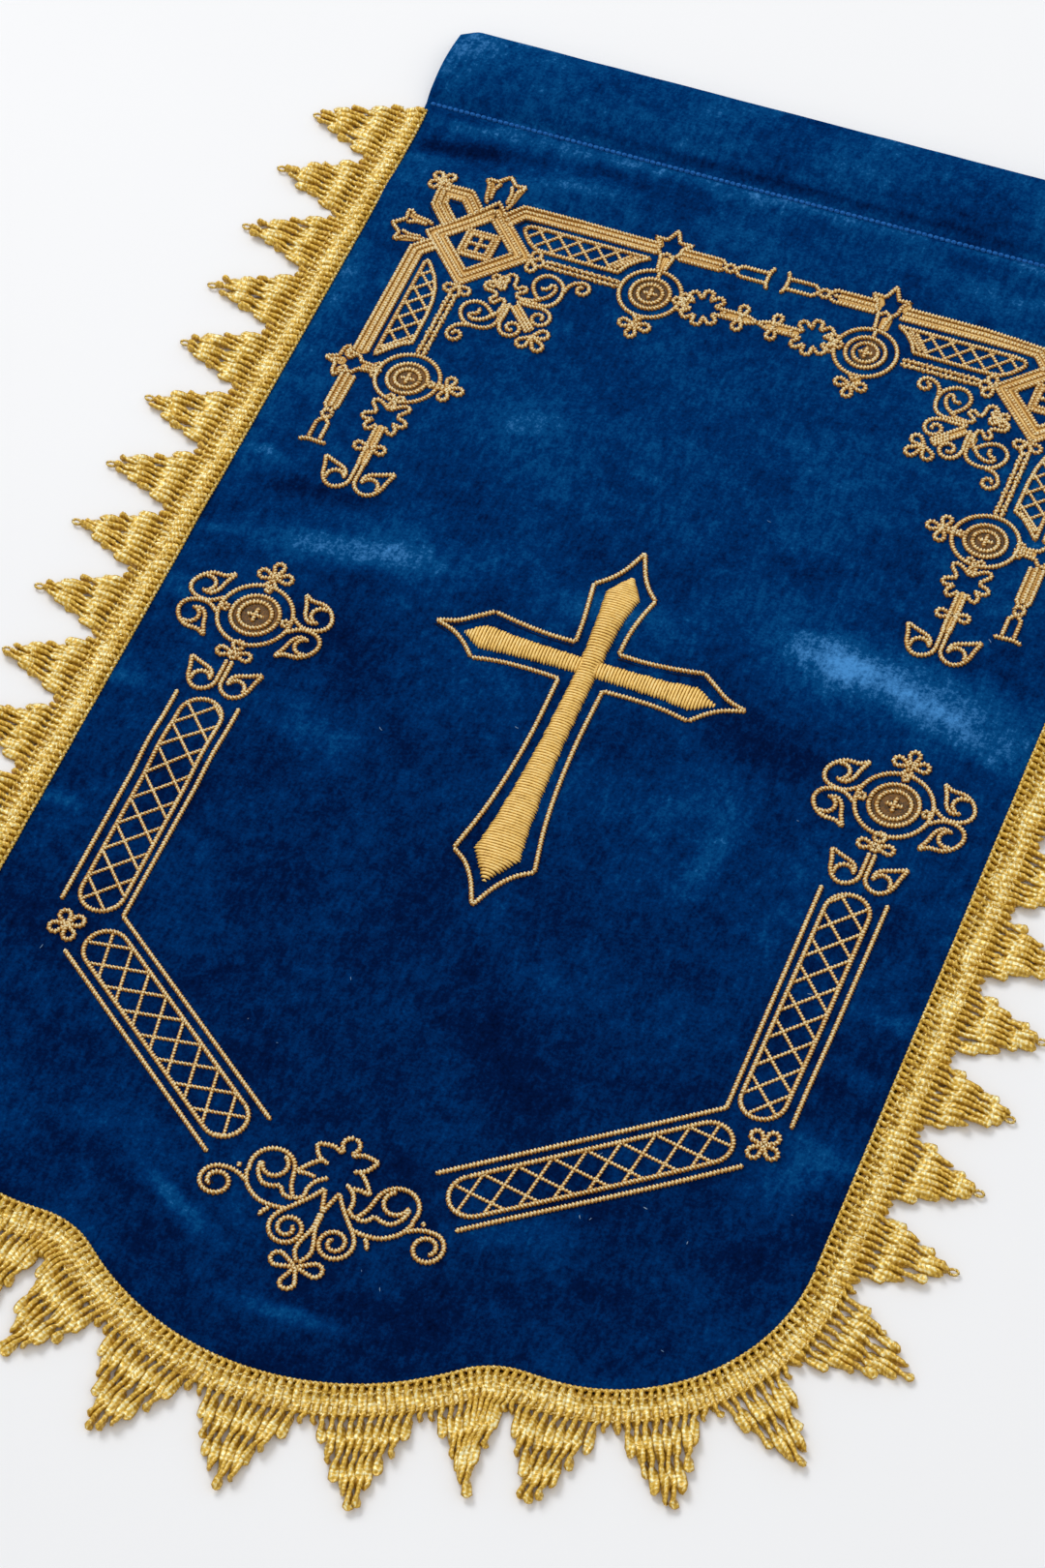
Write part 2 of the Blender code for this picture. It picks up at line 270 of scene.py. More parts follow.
class BannerClothSettings(PropertyGroup):
    """Sizes and colours of the velvet."""

    thickness: length_property("Cloth thickness", "Velvet with its pile and backing", 0.0024)
    edge_roll: length_property("Edge roll", "How far the turned edge sinks", 0.0008)
    stitch_pitch: length_property("Stitch pitch", "Topstitch spacing along the sleeve's seam", 0.0029)
    # Stops of the velvet's colour ramp: the stored painted sheen and shade, and the random tone, pick between
    # them
    deep: color_property("Deep pile", "Colour looking into the pile", "#020720")
    dark: color_property("Dark nap", "Colour of the nap turned away", "#021740")
    middle: color_property("Middle nap", "Colour of the nap at rest", "#012E64")
    light: color_property("Light nap", "Colour of the nap turned to the light", "#07487F")
    bright: color_property("Bright nap", "Colour of brushed nap", "#478CCC")


class BannerEmbroiderySettings(PropertyGroup):
    """Sizes and colours of the embroidery."""

    line_width: length_property("Line width", "Width of a stitched line", 0.0027)
    line_height: length_property("Line height", "Smaller width of the twisted thread", 0.0014)
    stitch_pitch: length_property("Stitch pitch", "Spacing of the stitches on a line", 0.0016)
    satin_pitch: length_property("Satin pitch", "Spacing of the threads that fill the cross", 0.00145)
    thread: color_property("Thread", "Pale gold embroidery thread", "#FFE094")
    thread_shade: color_property("Thread shade", "Thread between its turns", "#AA701C")
    thread_glint: color_property("Thread glint", "Thread where it catches the light", "#FFFADC")
    satin: color_property("Satin", "Gold thread that fills the cross", "#FFD270")
    satin_shade: color_property("Satin shade", "Satin thread between its strands", "#AC7A24")
    satin_glint: color_property("Satin glint", "Satin where it catches the light", "#FFF0B0")
    underlay: color_property("Underlay", "Flat stitching between the lines of a band", "#C8943A")
    # Darkest stop of the painted thread shadow beside the lines and of the deep flat stitching's painted
    # shade
    underlay_shade: color_property("Underlay shade", "Flat stitching where it lies deep", "#3E2C12")
    pressed_shade: color_property("Pressed pile", "Velvet that stitching has pressed flat", "#2E2614")


class BannerFringeSettings(PropertyGroup):
    """Sizes and colours of the bullion fringe."""

    strand_width: length_property("Strand width", "Across one twisted strand", 0.0047)
    strand_height: length_property("Strand height", "Smaller width of the twisted strand", 0.0028)
    strand_pitch: length_property("Strand pitch", "Spacing of strands along the heading", 0.00357)
    turn_pitch: length_property("Turn pitch", "Half a turn of a strand's two plies", 0.016)
    seed: IntProperty(name="Seed", description="Unevenness of the strands", default=11, min=0)
    gold: color_property("Gold", "Bullion wire", "#EDC24A")
    gold_shade: color_property("Gold shade", "Bullion in the grooves of the twist", "#B68A22")
    gold_glint: color_property("Gold glint", "Bullion where it catches the light", "#FFF8C4")


class BannerStageSettings(PropertyGroup):
    """Camera, floor and lights."""

    lens: FloatProperty(
        name="Lens", description="Focal length", default=109.81, min=1, subtype="DISTANCE_CAMERA"
    )
    key_power: FloatProperty(name="Key light", description="Main soft light", default=103, unit="POWER")
    fill_power: FloatProperty(name="Fill light", description="Weak soft light", default=16.5, unit="POWER")
    sky: FloatProperty(name="Room light", description="Even light from all round", default=0.615, min=0)
    floor: color_property("Floor", "Plain pale floor", "#F4F5F7")


def settings(name):
    """One group of the scene's settings."""
    return getattr(bpy.context.scene, name)


# Shape of the cloth

def ease(value):
    """Smooth bump: 1 at zero, level there, and 0 from one outward."""
    return 0.5 * (1 + np.cos(math.pi * np.minimum(np.abs(value), 1.0)))


def patch(x, y, row, unit=1.0, shift=0.0):
    """Bump of one row of a table of folds, puckers or patches."""
    middle_x, middle_y, length, width, strength, turn = row
    angle = math.radians(turn)
    dx, dy = x - middle_x * unit, y - (middle_y + shift) * unit
    along = dx * math.cos(angle) + dy * math.sin(angle)
    across = dy * math.cos(angle) - dx * math.sin(angle)
    return strength * ease(along / (length * unit)) * ease(across / (width * unit))


def cloth_top(x, y):
    """Height of the velvet's face over the surface, below the seam."""
    x, y = np.asarray(x, float), np.asarray(y, float)
    height = SEAM_LIFT * ease((SEAM_Y - y) / SEAM_LIFT_RUN)
    for row in FOLDS:
        height = np.maximum(height, patch(x, y, row))
    for row in PUCKERS:
        height = height + MM * patch(x, y, row, MM, DESIGN_Y)
    return FIELD_CLOTH + np.maximum(height, 0.0)


def edge_point(distance):
    """Point on the cloth's edge and its outward angle, by the distance along it from the lobe."""
    side = math.copysign(1.0, distance)
    run = abs(distance)
    if run <= LOBE_END:
        angle = run / LOBE_RADIUS
        x = LOBE_RADIUS * math.sin(angle)
        y = BOTTOM_Y + LOBE_RADIUS * (1 - math.cos(angle))
    elif run <= COVE_END:
        angle = LOBE_TURN - (run - LOBE_END) / COVE_RADIUS
        x = SHOULDER_X - COVE_RADIUS * math.sin(angle)
        y = SHOULDER_Y - COVE_RADIUS * (1 - math.cos(angle))
    elif run <= SHOULDER_END:
        angle = 0.0
        x = SHOULDER_X + run - COVE_END
        y = SHOULDER_Y
    elif run <= CORNER_END:
        angle = (run - SHOULDER_END) / CORNER_RADIUS
        x = CORNER_X + CORNER_RADIUS * math.sin(angle)
        y = CORNER_Y - CORNER_RADIUS * math.cos(angle)
    else:
        angle = math.pi / 2
        x = FIELD_WIDTH / 2
        y = CORNER_Y + run - CORNER_END
    return side * x, y, side * angle


def lower_edge(x):
    """Y of the field's lower edge at a given x."""
    x = abs(x)
    if x <= LOBE_EDGE_X:
        return BOTTOM_Y + LOBE_RADIUS - math.sqrt(LOBE_RADIUS ** 2 - x ** 2)
    if x <= SHOULDER_X:
        return SHOULDER_Y - COVE_RADIUS + math.sqrt(COVE_RADIUS ** 2 - (SHOULDER_X - x) ** 2)
    if x <= CORNER_X:
        return SHOULDER_Y
    reach = min((x - CORNER_X) / CORNER_RADIUS, 1.0)
    return CORNER_Y - CORNER_RADIUS * math.sqrt(1 - reach ** 2)


def along_edge(distance, depth):
    """Point at a depth outside the cloth's edge, square to it."""
    x, y, angle = edge_point(distance)
    return x + depth * math.sin(angle), y - depth * math.cos(angle)


def hang_angle(distance):
    """Direction in which the strands of a point lie: the edge's own angle evened out along it."""
    spacing = HANG_WINDOW / HANG_SAMPLES
    places = range(-HANG_SAMPLES, HANG_SAMPLES + 1)
    angles = [edge_point(distance + spacing * place)[2] for place in places]
    blend = min(max((abs(distance) - COVE_END) / LEAN_BLEND_RUN, 0.0), 1.0)
    return sum(angles) / len(angles) * (LOBE_LEAN + (1 - LOBE_LEAN) * blend)


def sleeve_face(x, share):
    """Y and height of the sleeve's outer face at a share of its run up from the seam."""
    overhang = SLEEVE_WIDTH / 2 - abs(x)
    depth = SLEEVE_DEPTH - SLEEVE_CORNER_CUT * float(ease(overhang / SLEEVE_CORNER_RUN))
    wave = math.sin(math.tau * SLEEVE_WAVES * x / SLEEVE_WIDTH + SLEEVE_WAVE_START)
    crown = SLEEVE_CROWN + SLEEVE_CROWN_WAVE * wave
    flat = depth - SLEEVE_FOLD_HEIGHT / 2
    straight = SLEEVE_SEAM_HEIGHT + (SLEEVE_FOLD_HEIGHT - SLEEVE_SEAM_HEIGHT) * share
    mean_height = (SLEEVE_FOLD_HEIGHT + SLEEVE_SEAM_HEIGHT) / 2
    return SEAM_Y + flat * share, straight + (crown - mean_height) * math.sin(math.pi * share)


def sleeve_fold(x, turn):
    """Y and height of the fold along the sleeve's top, from its face round to its back."""
    face_y = sleeve_face(x, 1.0)[0]
    radius = SLEEVE_FOLD_HEIGHT / 2
    return face_y + radius * math.sin(turn), radius * (1 + math.cos(turn))


# Making objects

def new_object(name, mesh):
    """Object at the origin in the scene's collection."""
    piece = bpy.data.objects.new(name, mesh)
    bpy.context.scene.collection.objects.link(piece)
    return piece


def bake_modifiers(piece):
    """Turn a piece's modifiers into a plain mesh."""
    graph = bpy.context.evaluated_depsgraph_get()
    mesh = bpy.data.meshes.new_from_object(piece.evaluated_get(graph))
    mesh.name = piece.name
    piece.modifiers.clear()
    piece.data = mesh
    return piece


def belongs(piece, material_slot, *nodes):
    """Let a finished piece ride on the banner and stand for its solids. Its material slot is not used."""
    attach(piece, BODY)
    if nodes:
        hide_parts(*nodes)


def add_node(tree, kind, inputs=None, **values):
    """Add a node. Its inputs get a value, or a link where they are given another node's output."""
    node = tree.nodes.new(kind)
    for name, value in values.items():
        setattr(node, name, value)
    for key, value in (inputs or {}).items():
        if isinstance(value, NodeSocket):
            tree.links.new(value, node.inputs[key])
        else:
            node.inputs[key].default_value = value
    return node


def maths(tree, operation, *values):
    """Output of a Math node."""
    node = add_node(tree, "ShaderNodeMath", dict(enumerate(values)), operation=operation)
    return node.outputs[0]


def start_material(name):
    """Material with its shader, and a tree that is otherwise empty."""
    material = bpy.data.materials.new(name)
    material.use_nodes = True
    return material, material.node_tree, material.node_tree.nodes["Principled BSDF"]


def ramp(tree, factor, stops):
    """Colour ramp through (place, colour) stops."""
    node = add_node(tree, "ShaderNodeValToRGB", {0: factor})
    elements = node.color_ramp.elements
    while len(elements) < len(stops):
        elements.new(1.0)
    for element, (place, color) in zip(elements, stops):
        element.position = place
        element.color = opaque(color)
    return node.outputs[0]


def velvet_material():
    """Cotton velvet: cut pile, with painted sheen and shade from the stored attribute, and random tone in
    soft clouds and streaks.
    """
    cloth = settings("banner_cloth")
    material, tree, shader = start_material("cotton_velvet")
    place = add_node(tree, "ShaderNodeTexCoord").outputs["Object"]
    nap_sheen = add_node(tree, "ShaderNodeAttribute", attribute_name="nap_sheen").outputs["Fac"]
    # Clouds about 45 mm across, crushed spots about 6 mm, and tufts of pile drawn at 1.5 mm so
    # that they show
    cloud = add_node(tree, "ShaderNodeTexNoise", {"Vector": place, "Scale": 22.0, "Detail": 3.0})
    crushed = add_node(
        tree, "ShaderNodeTexNoise", {"Vector": place, "Scale": 160.0, "Detail": 4.0, "Roughness": 0.65}
    )
    tuft = add_node(
        tree, "ShaderNodeTexNoise", {"Vector": place, "Scale": 680.0, "Detail": 2.0, "Roughness": 0.7}
    )
    # Brush marks run up the cloth, about 2 mm wide
    drawn = add_node(tree, "ShaderNodeMapping", {"Vector": place, "Scale": (1.0, 0.28, 1.0)})
    brushed = add_node(
        tree, "ShaderNodeTexNoise", {"Vector": drawn.outputs[0], "Scale": 420.0, "Detail": 3.0}
    )
    # Painted sheen and shade from the stored attribute, plus the noises' random tone, set the place on the
    # colour ramp
    shade = maths(tree, "MULTIPLY_ADD", cloud.outputs[0], 0.50, nap_sheen)
    shade = maths(tree, "MULTIPLY_ADD", crushed.outputs[0], 0.50, shade)
    shade = maths(tree, "MULTIPLY_ADD", brushed.outputs[0], 0.36, shade)
    shade = maths(tree, "MULTIPLY_ADD", tuft.outputs[0], 0.50, shade)
    shade = maths(tree, "SUBTRACT", shade, 0.92)
    stops = [
        (0.0, cloth.deep), (0.27, cloth.dark), (0.50, cloth.middle), (0.70, cloth.light),
        (1.0, cloth.bright),
    ]
    color = ramp(tree, shade, stops)
    bump = add_node(
        tree, "ShaderNodeBump", {"Height": tuft.outputs[0], "Strength": 0.5, "Distance": 0.0006}
    )
    tree.links.new(color, shader.inputs["Base Color"])
    tree.links.new(bump.outputs[0], shader.inputs["Normal"])
    shader.inputs["Roughness"].default_value = 0.95
    shader.inputs["Specular IOR Level"].default_value = 0.0
    shader.inputs["Sheen Weight"].default_value = 0.06
    shader.inputs["Sheen Roughness"].default_value = 0.35
    shader.inputs["Sheen Tint"].default_value = opaque(to_linear("#0A6AD8"))
    return material


def thread_material(
    name, colors, roughness, grain, speckle, pitch=0.0016, painted_bead_highlights=0.0, plies=1, sides=0.75,
    wobble=0.0, metallic=0.0
):
    """Thread with painted light: painted highlight on the top of each stitch, painted shade between stitches,
    between plies and down its sides.
    """
    material, tree, shader = start_material(name)
    place = add_node(tree, "ShaderNodeTexCoord").outputs["Object"]
    run = add_node(tree, "ShaderNodeAttribute", attribute_name="run").outputs["Fac"]
    across = add_node(tree, "ShaderNodeAttribute", attribute_name="across").outputs["Fac"]
    # Painted side shade: the colour darkens, by up to sides, where the surface turns away from facing up
    facing = add_node(tree, "ShaderNodeNewGeometry").outputs["Normal"]
    rise = add_node(tree, "ShaderNodeSeparateXYZ", {0: facing}).outputs["Z"]
    limits = {"From Min": 0.40, "From Max": 0.98, "To Min": -sides, "To Max": 0.0}
    painted_side_shade = add_node(
        tree, "ShaderNodeMapRange", {"Value": rise, **limits}
    ).outputs[0]
    fine = add_node(
        tree, "ShaderNodeTexNoise",
        {"Vector": place, "Scale": grain, "Detail": 3.0, "Roughness": 0.65},
    )
    drift = add_node(tree, "ShaderNodeTexNoise", {"Vector": place, "Scale": 170.0, "Detail": 2.0})
    # Painted bead highlights: the colour rises and falls once a stitch along the thread, slanted across it
    # and shifted by the drift noise
    phase = maths(tree, "MULTIPLY_ADD", across, 0.9, maths(tree, "MULTIPLY", run, math.tau / pitch))
    phase = maths(tree, "MULTIPLY_ADD", drift.outputs[0], wobble, phase)
    wave = maths(tree, "COSINE", phase)
    # Painted shade in the grooves between plies, so the middle of an even number of plies is dark too
    painted_groove_shade = maths(tree, "COSINE", maths(tree, "MULTIPLY", across, math.pi * plies))
    painted_groove_share = 0.0 if plies == 1 else 0.24 if plies % 2 else -0.24
    factor = maths(tree, "MULTIPLY_ADD", wave, -painted_bead_highlights, painted_side_shade)
    factor = maths(tree, "MULTIPLY_ADD", painted_groove_shade, painted_groove_share, factor)
    # Fine noise: random tone, and painted glints where it lifts the colour to the glint stop
    factor = maths(tree, "MULTIPLY_ADD", fine.outputs[0], speckle, factor)
    factor = maths(tree, "MULTIPLY_ADD", drift.outputs[0], 0.4, factor)
    # Takes off the noise's middle value, so that a thread's top lies a little over half way up
    factor = maths(tree, "SUBTRACT", factor, 0.5 * speckle + 0.2 - 0.58)
    # Ramp from painted shade through the thread's own colour to painted highlight
    color = ramp(tree, factor, list(zip((0.0, 0.5, 0.95), colors)))
    gloss = maths(tree, "MULTIPLY_ADD", fine.outputs[0], 0.45, roughness - 0.22)
    relief = maths(tree, "MULTIPLY_ADD", wave, -0.5 * bool(painted_bead_highlights), fine.outputs[0])
    bump = add_node(tree, "ShaderNodeBump", {"Height": relief, "Strength": 0.7, "Distance": 0.0004})
    tree.links.new(color, shader.inputs["Base Color"])
    tree.links.new(gloss, shader.inputs["Roughness"])
    tree.links.new(bump.outputs[0], shader.inputs["Normal"])
    shader.inputs["Metallic"].default_value = metallic
    return material


def thread_shadow_material():
    """Velvet flattened beside stitching, painted with the thread's shadow: brown, then dark as the deep pile.
    """
    material, tree, shader = start_material("shadowed_pressed_velvet")
    place = add_node(tree, "ShaderNodeTexCoord").outputs["Object"]
    across = add_node(tree, "ShaderNodeAttribute", attribute_name="across").outputs["Fac"]
    ragged = add_node(tree, "ShaderNodeTexNoise", {"Vector": place, "Scale": 600.0, "Detail": 3.0})
    factor = maths(tree, "MULTIPLY_ADD", ragged.outputs[0], 0.5, maths(tree, "ABSOLUTE", across))
    factor = maths(tree, "SUBTRACT", factor, 0.25)
    pressed_shade = settings("banner_embroidery").pressed_shade
    stops = [(0.60, pressed_shade), (0.84, to_linear("#0C1430")), (1.0, to_linear("#021A44"))]
    tree.links.new(ramp(tree, factor, stops), shader.inputs["Base Color"])
    shader.inputs["Roughness"].default_value = 0.95
    shader.inputs["Specular IOR Level"].default_value = 0.0
    return material


# Geometry Nodes trees

def start_tree(name, inputs):
    """Empty geometry tree with its inputs: (name, socket type, default)."""
    tree = bpy.data.node_groups.new(name, "GeometryNodeTree")
    tree.interface.new_socket("Geometry", in_out="OUTPUT", socket_type="NodeSocketGeometry")
    tree.interface.new_socket("Geometry", in_out="INPUT", socket_type="NodeSocketGeometry")
    for label, kind, default in inputs:
        socket = tree.interface.new_socket(label, in_out="INPUT", socket_type=kind)
        if default is not None:
            socket.default_value = default
    return tree, add_node(tree, "NodeGroupInput").outputs


def end_tree(tree, geometry, material):
    """Smooth, realised result with its material."""
    smooth = add_node(tree, "GeometryNodeSetShadeSmooth", {"Geometry": geometry})
    plain = add_node(tree, "GeometryNodeRealizeInstances", {"Geometry": smooth.outputs[0]})
    finish = add_node(
        tree, "GeometryNodeSetMaterial", {"Geometry": plain.outputs[0], "Material": material}
    )
    add_node(tree, "NodeGroupOutput", {0: finish.outputs[0]})
    return tree


def thread_tree():
    """Winds a twisted, slightly uneven thread along each edge line of a mesh."""
    tree, given = start_tree("wound_thread", [
        ("Width", "NodeSocketFloat", 0.002),
        ("Height", "NodeSocketFloat", 0.001),
        ("Twist", "NodeSocketFloat", 0.0),
        ("Step", "NodeSocketFloat", 0.001),
        ("Rounding", "NodeSocketFloat", 0.001),
        ("Unevenness", "NodeSocketFloat", 0.1),
        ("Wander", "NodeSocketFloat", 0.0),
        ("Waist", "NodeSocketFloat", 0.0),
        ("Sides", "NodeSocketInt", 8),
        ("Seed", "NodeSocketFloat", 0.0),
        ("Material", "NodeSocketMaterial", None),
    ])
    curve = add_node(tree, "GeometryNodeMeshToCurve", {"Mesh": given["Geometry"]})
    even = add_node(
        tree, "GeometryNodeResampleCurve", {"Curve": curve.outputs[0], "Length": given["Step"]},
        mode="LENGTH",
    )
    level = add_node(tree, "GeometryNodeSetCurveNormal", {"Curve": even.outputs[0]}, mode="Z_UP")
    run = add_node(tree, "GeometryNodeSplineParameter").outputs["Length"]
    total = add_node(tree, "GeometryNodeSplineLength").outputs["Length"]
    turn = maths(tree, "MULTIPLY", maths(tree, "MULTIPLY", run, given["Twist"]), math.pi)
    slack = add_node(
        tree, "ShaderNodeTexNoise", {"W": given["Seed"], "Scale": 190.0}, noise_dimensions="4D"
    )
    turn = maths(tree, "MULTIPLY_ADD", slack.outputs[0], given["Wander"], turn)
    tilted = add_node(tree, "GeometryNodeSetCurveTilt", {"Curve": level.outputs[0], "Tilt": turn})
    measured = add_node(
        tree, "GeometryNodeStoreNamedAttribute",
        {"Geometry": tilted.outputs[0], "Name": "run", "Value": run}, data_type="FLOAT", domain="POINT",
    )
    from_end = maths(tree, "MINIMUM", run, maths(tree, "SUBTRACT", total, run))
    share = maths(tree, "DIVIDE", from_end, given["Rounding"])
    looped = add_node(tree, "GeometryNodeInputSplineCyclic").outputs[0]
    share = maths(tree, "MINIMUM", maths(tree, "ADD", maths(tree, "MAXIMUM", share, looped), 0.06), 1.0)
    missing = maths(tree, "SUBTRACT", 1.0, share)
    dome = maths(tree, "SQRT", maths(tree, "SUBTRACT", 1.0, maths(tree, "MULTIPLY", missing, missing)))
    lumps = add_node(
        tree, "ShaderNodeTexNoise", {"W": given["Seed"], "Scale": 260.0}, noise_dimensions="4D"
    )
    swell = maths(tree, "SUBTRACT", lumps.outputs[0], 0.5)
    swell = maths(tree, "ADD", 1.0, maths(tree, "MULTIPLY", swell, given["Unevenness"]))
    fullness = add_node(
        tree, "GeometryNodeInputNamedAttribute", {"Name": "fullness"}, data_type="FLOAT"
    ).outputs[0]
    section = add_node(
        tree, "GeometryNodeCurvePrimitiveCircle", {"Resolution": given["Sides"], "Radius": 1.0},
        mode="RADIUS",
    )
    at = add_node(tree, "GeometryNodeInputPosition").outputs[0]
    spot = add_node(tree, "ShaderNodeSeparateXYZ", {0: at}).outputs
    marked = add_node(
        tree, "GeometryNodeStoreNamedAttribute",
        {"Geometry": section.outputs[0], "Name": "across", "Value": spot["X"]},
        data_type="FLOAT", domain="POINT",
    )
    inward = maths(tree, "MULTIPLY_ADD", maths(tree, "ABSOLUTE", spot["X"]), -1.35, 1.0)
    kept = maths(tree, "SUBTRACT", 1.0, maths(tree, "MULTIPLY", inward, given["Waist"]))
    pinched = add_node(
        tree, "ShaderNodeCombineXYZ", {0: spot["X"], 1: maths(tree, "MULTIPLY", spot["Y"], kept)}
    )
    shaped = add_node(
        tree, "GeometryNodeSetPosition", {"Geometry": marked.outputs[0], "Position": pinched.outputs[0]}
    )
    half = [maths(tree, "MULTIPLY", given[key], 0.5) for key in ("Width", "Height")]
    size = add_node(tree, "ShaderNodeCombineXYZ", {0: half[0], 1: half[1], 2: 1.0})
    oval = add_node(
        tree, "GeometryNodeTransform", {"Geometry": shaped.outputs[0], "Scale": size.outputs[0]}
    )
    thread = add_node(tree, "GeometryNodeCurveToMesh", {
        "Curve": measured.outputs[0],
        "Profile Curve": oval.outputs[0],
        "Scale": maths(tree, "MULTIPLY", maths(tree, "MULTIPLY", dome, swell), fullness),
        "Fill Caps": True,
    })
    return end_tree(tree, thread.outputs[0], given["Material"])


def shadow_strip_tree():
    """Lays a low strip of flattened pile, painted dark with thread shadow, along each edge line of a mesh."""
    tree, given = start_tree("shadowed_pressed_pile", [
        ("Width", "NodeSocketFloat", 0.004),
        ("Middle Height", "NodeSocketFloat", 0.00040),
        ("Edge Height", "NodeSocketFloat", 0.00020),
        ("Step", "NodeSocketFloat", 0.0014),
        ("Material", "NodeSocketMaterial", None),
    ])
    curve = add_node(tree, "GeometryNodeMeshToCurve", {"Mesh": given["Geometry"]})
    even = add_node(
        tree, "GeometryNodeResampleCurve", {"Curve": curve.outputs[0], "Length": given["Step"]},
        mode="LENGTH",
    )
    level = add_node(tree, "GeometryNodeSetCurveNormal", {"Curve": even.outputs[0]}, mode="Z_UP")
    half = maths(tree, "MULTIPLY", given["Width"], 0.5)
    ends = [
        add_node(tree, "ShaderNodeCombineXYZ", {0: place, 1: height}).outputs[0]
        for place, height in (
            (maths(tree, "MULTIPLY", half, -1.0), given["Edge Height"]),
            (0.0, given["Middle Height"]),
            (half, given["Edge Height"]),
        )
    ]
    arch = add_node(
        tree, "GeometryNodeCurveArc",
        {"Resolution": 3, "Start": ends[0], "Middle": ends[1], "End": ends[2]}, mode="POINTS",
    )
    at = add_node(tree, "GeometryNodeInputPosition").outputs[0]
    aside = add_node(tree, "ShaderNodeSeparateXYZ", {0: at}).outputs["X"]
    marked = add_node(
        tree, "GeometryNodeStoreNamedAttribute",
        {"Geometry": arch.outputs[0], "Name": "across", "Value": maths(tree, "DIVIDE", aside, half)},
        data_type="FLOAT", domain="POINT",
    )
    strip = add_node(
        tree, "GeometryNodeCurveToMesh", {"Curve": level.outputs[0], "Profile Curve": marked.outputs[0]}
    )
    return end_tree(tree, strip.outputs[0], given["Material"])


def stitch_tree():
    """Lays short rounded stitches in a row along each edge line of a mesh."""
    tree, given = start_tree("topstitch", [
        ("Pitch", "NodeSocketFloat", 0.004),
        ("Length", "NodeSocketFloat", 0.003),
        ("Width", "NodeSocketFloat", 0.0008),
        ("Material", "NodeSocketMaterial", None),
    ])
    curve = add_node(tree, "GeometryNodeMeshToCurve", {"Mesh": given["Geometry"]})
    points = add_node(
        tree, "GeometryNodeCurveToPoints", {"Curve": curve.outputs[0], "Length": given["Pitch"]},
        mode="LENGTH",
    )
    bead = add_node(tree, "GeometryNodeMeshIcoSphere", {"Radius": 0.5, "Subdivisions": 2})
    size = add_node(
        tree, "ShaderNodeCombineXYZ", {0: given["Width"], 1: given["Width"], 2: given["Length"]}
    )
    laid = add_node(tree, "GeometryNodeInstanceOnPoints", {
        "Points": points.outputs["Points"],
        "Instance": bead.outputs[0],
        "Rotation": points.outputs["Rotation"],
        "Scale": size.outputs[0],
    })
    return end_tree(tree, laid.outputs[0], given["Material"])


def line_mesh(name, lines, fullness=None):
    """Mesh of edges through lines of points: (points, closed), with how full each is there."""
    points, edges = [], []
    for line, closed in lines:
        first = len(points)
        points += line
        edges += [(first + index, first + index + 1) for index in range(len(line) - 1)]
        if closed:
            edges.append((first + len(line) - 1, first))
    mesh = bpy.data.meshes.new(name)
    mesh.from_pydata(points, edges, [])
    shares = np.ones(len(points)) if fullness is None else np.array(fullness)
    mesh.attributes.new("fullness", "FLOAT", "POINT").data.foreach_set("value", shares)
    return mesh


def run_tree(name, lines, tree, values, fullness=None):
    """Object that a tree makes from lines, as a plain mesh."""
    piece = new_object(name, line_mesh(name, lines, fullness))
    modifier = piece.modifiers.new("nodes", "NODES")
    modifier.node_group = tree
    for item in tree.interface.items_tree:
        if item.in_out == "INPUT" and item.name in values:
            modifier[item.identifier] = values[item.name]
    return bake_modifiers(piece)


# Lines of ornament, in millimetres of the design

ARC_STEP = 9


def arc(x, y, radius, start, end, last_radius=None):
    """Points along an arc, or along a spiral if it ends at another radius."""
    steps = max(4, round(abs(end - start) / ARC_STEP))
    change = (radius if last_radius is None else last_radius) - radius
    points = []
    for step in range(steps + 1):
        share = step / steps
        angle = math.radians(start + (end - start) * share)
        reach = radius + change * share
        points.append((x + reach * math.cos(angle), y + reach * math.sin(angle)))
    return points


def circle(x, y, radius):
    """Closed ring."""
    return arc(x, y, radius, 0, 360)[:-1], True


def curved(points, closed=False, steps=6):
    """Smooth line through a few placed points."""
    count = len(points)
    places = [np.array(point, float) for point in points]
    if closed:
        places = [places[-1], *places, places[0], places[1]]
    else:
        places = [2 * places[0] - places[1], *places, 2 * places[-1] - places[-2]]
    line = []
    for index in range(count if closed else count - 1):
        a, b, c, d = places[index:index + 4]
        for step in range(steps):
            t = step / steps
            spot = b + 0.5 * t * (c - a + t * (2 * a - 5 * b + 4 * c - d + t * (3 * (b - c) + d - a)))
            line.append(tuple(spot))
    return line if closed else [*line, tuple(places[-2])]


def opened(*lines):
    """Lines that don't close."""
    return [(list(line), False) for line in lines]


def reflect_x(lines, about=0.0):
    """Lines mirrored left to right."""
    return [([(2 * about - x, y) for x, y in line], closed) for line, closed in lines]


def reflect_y(lines, about):
    """Lines mirrored top to bottom."""
    return [([(x, 2 * about - y) for x, y in line], closed) for line, closed in lines]


def moved(lines, x, y):
    """Lines shifted."""
    return [([(px + x, py + y) for px, py in line], closed) for line, closed in lines]


def petals(x, y, directions, reach, radius):
    """Looped lobes of a clover round a point, each a ring drawn out to the middle."""
    lines = []
    for direction in directions:
        angle = math.radians(direction)
        spread = math.degrees(math.acos(min(radius / reach, 0.95)))
        far_x, far_y = x + reach * math.cos(angle), y + reach * math.sin(angle)
        turn = arc(far_x, far_y, radius, direction + 180 - spread, direction - 180 + spread)
        lines.append(([(x, y), *turn], True))
    return lines


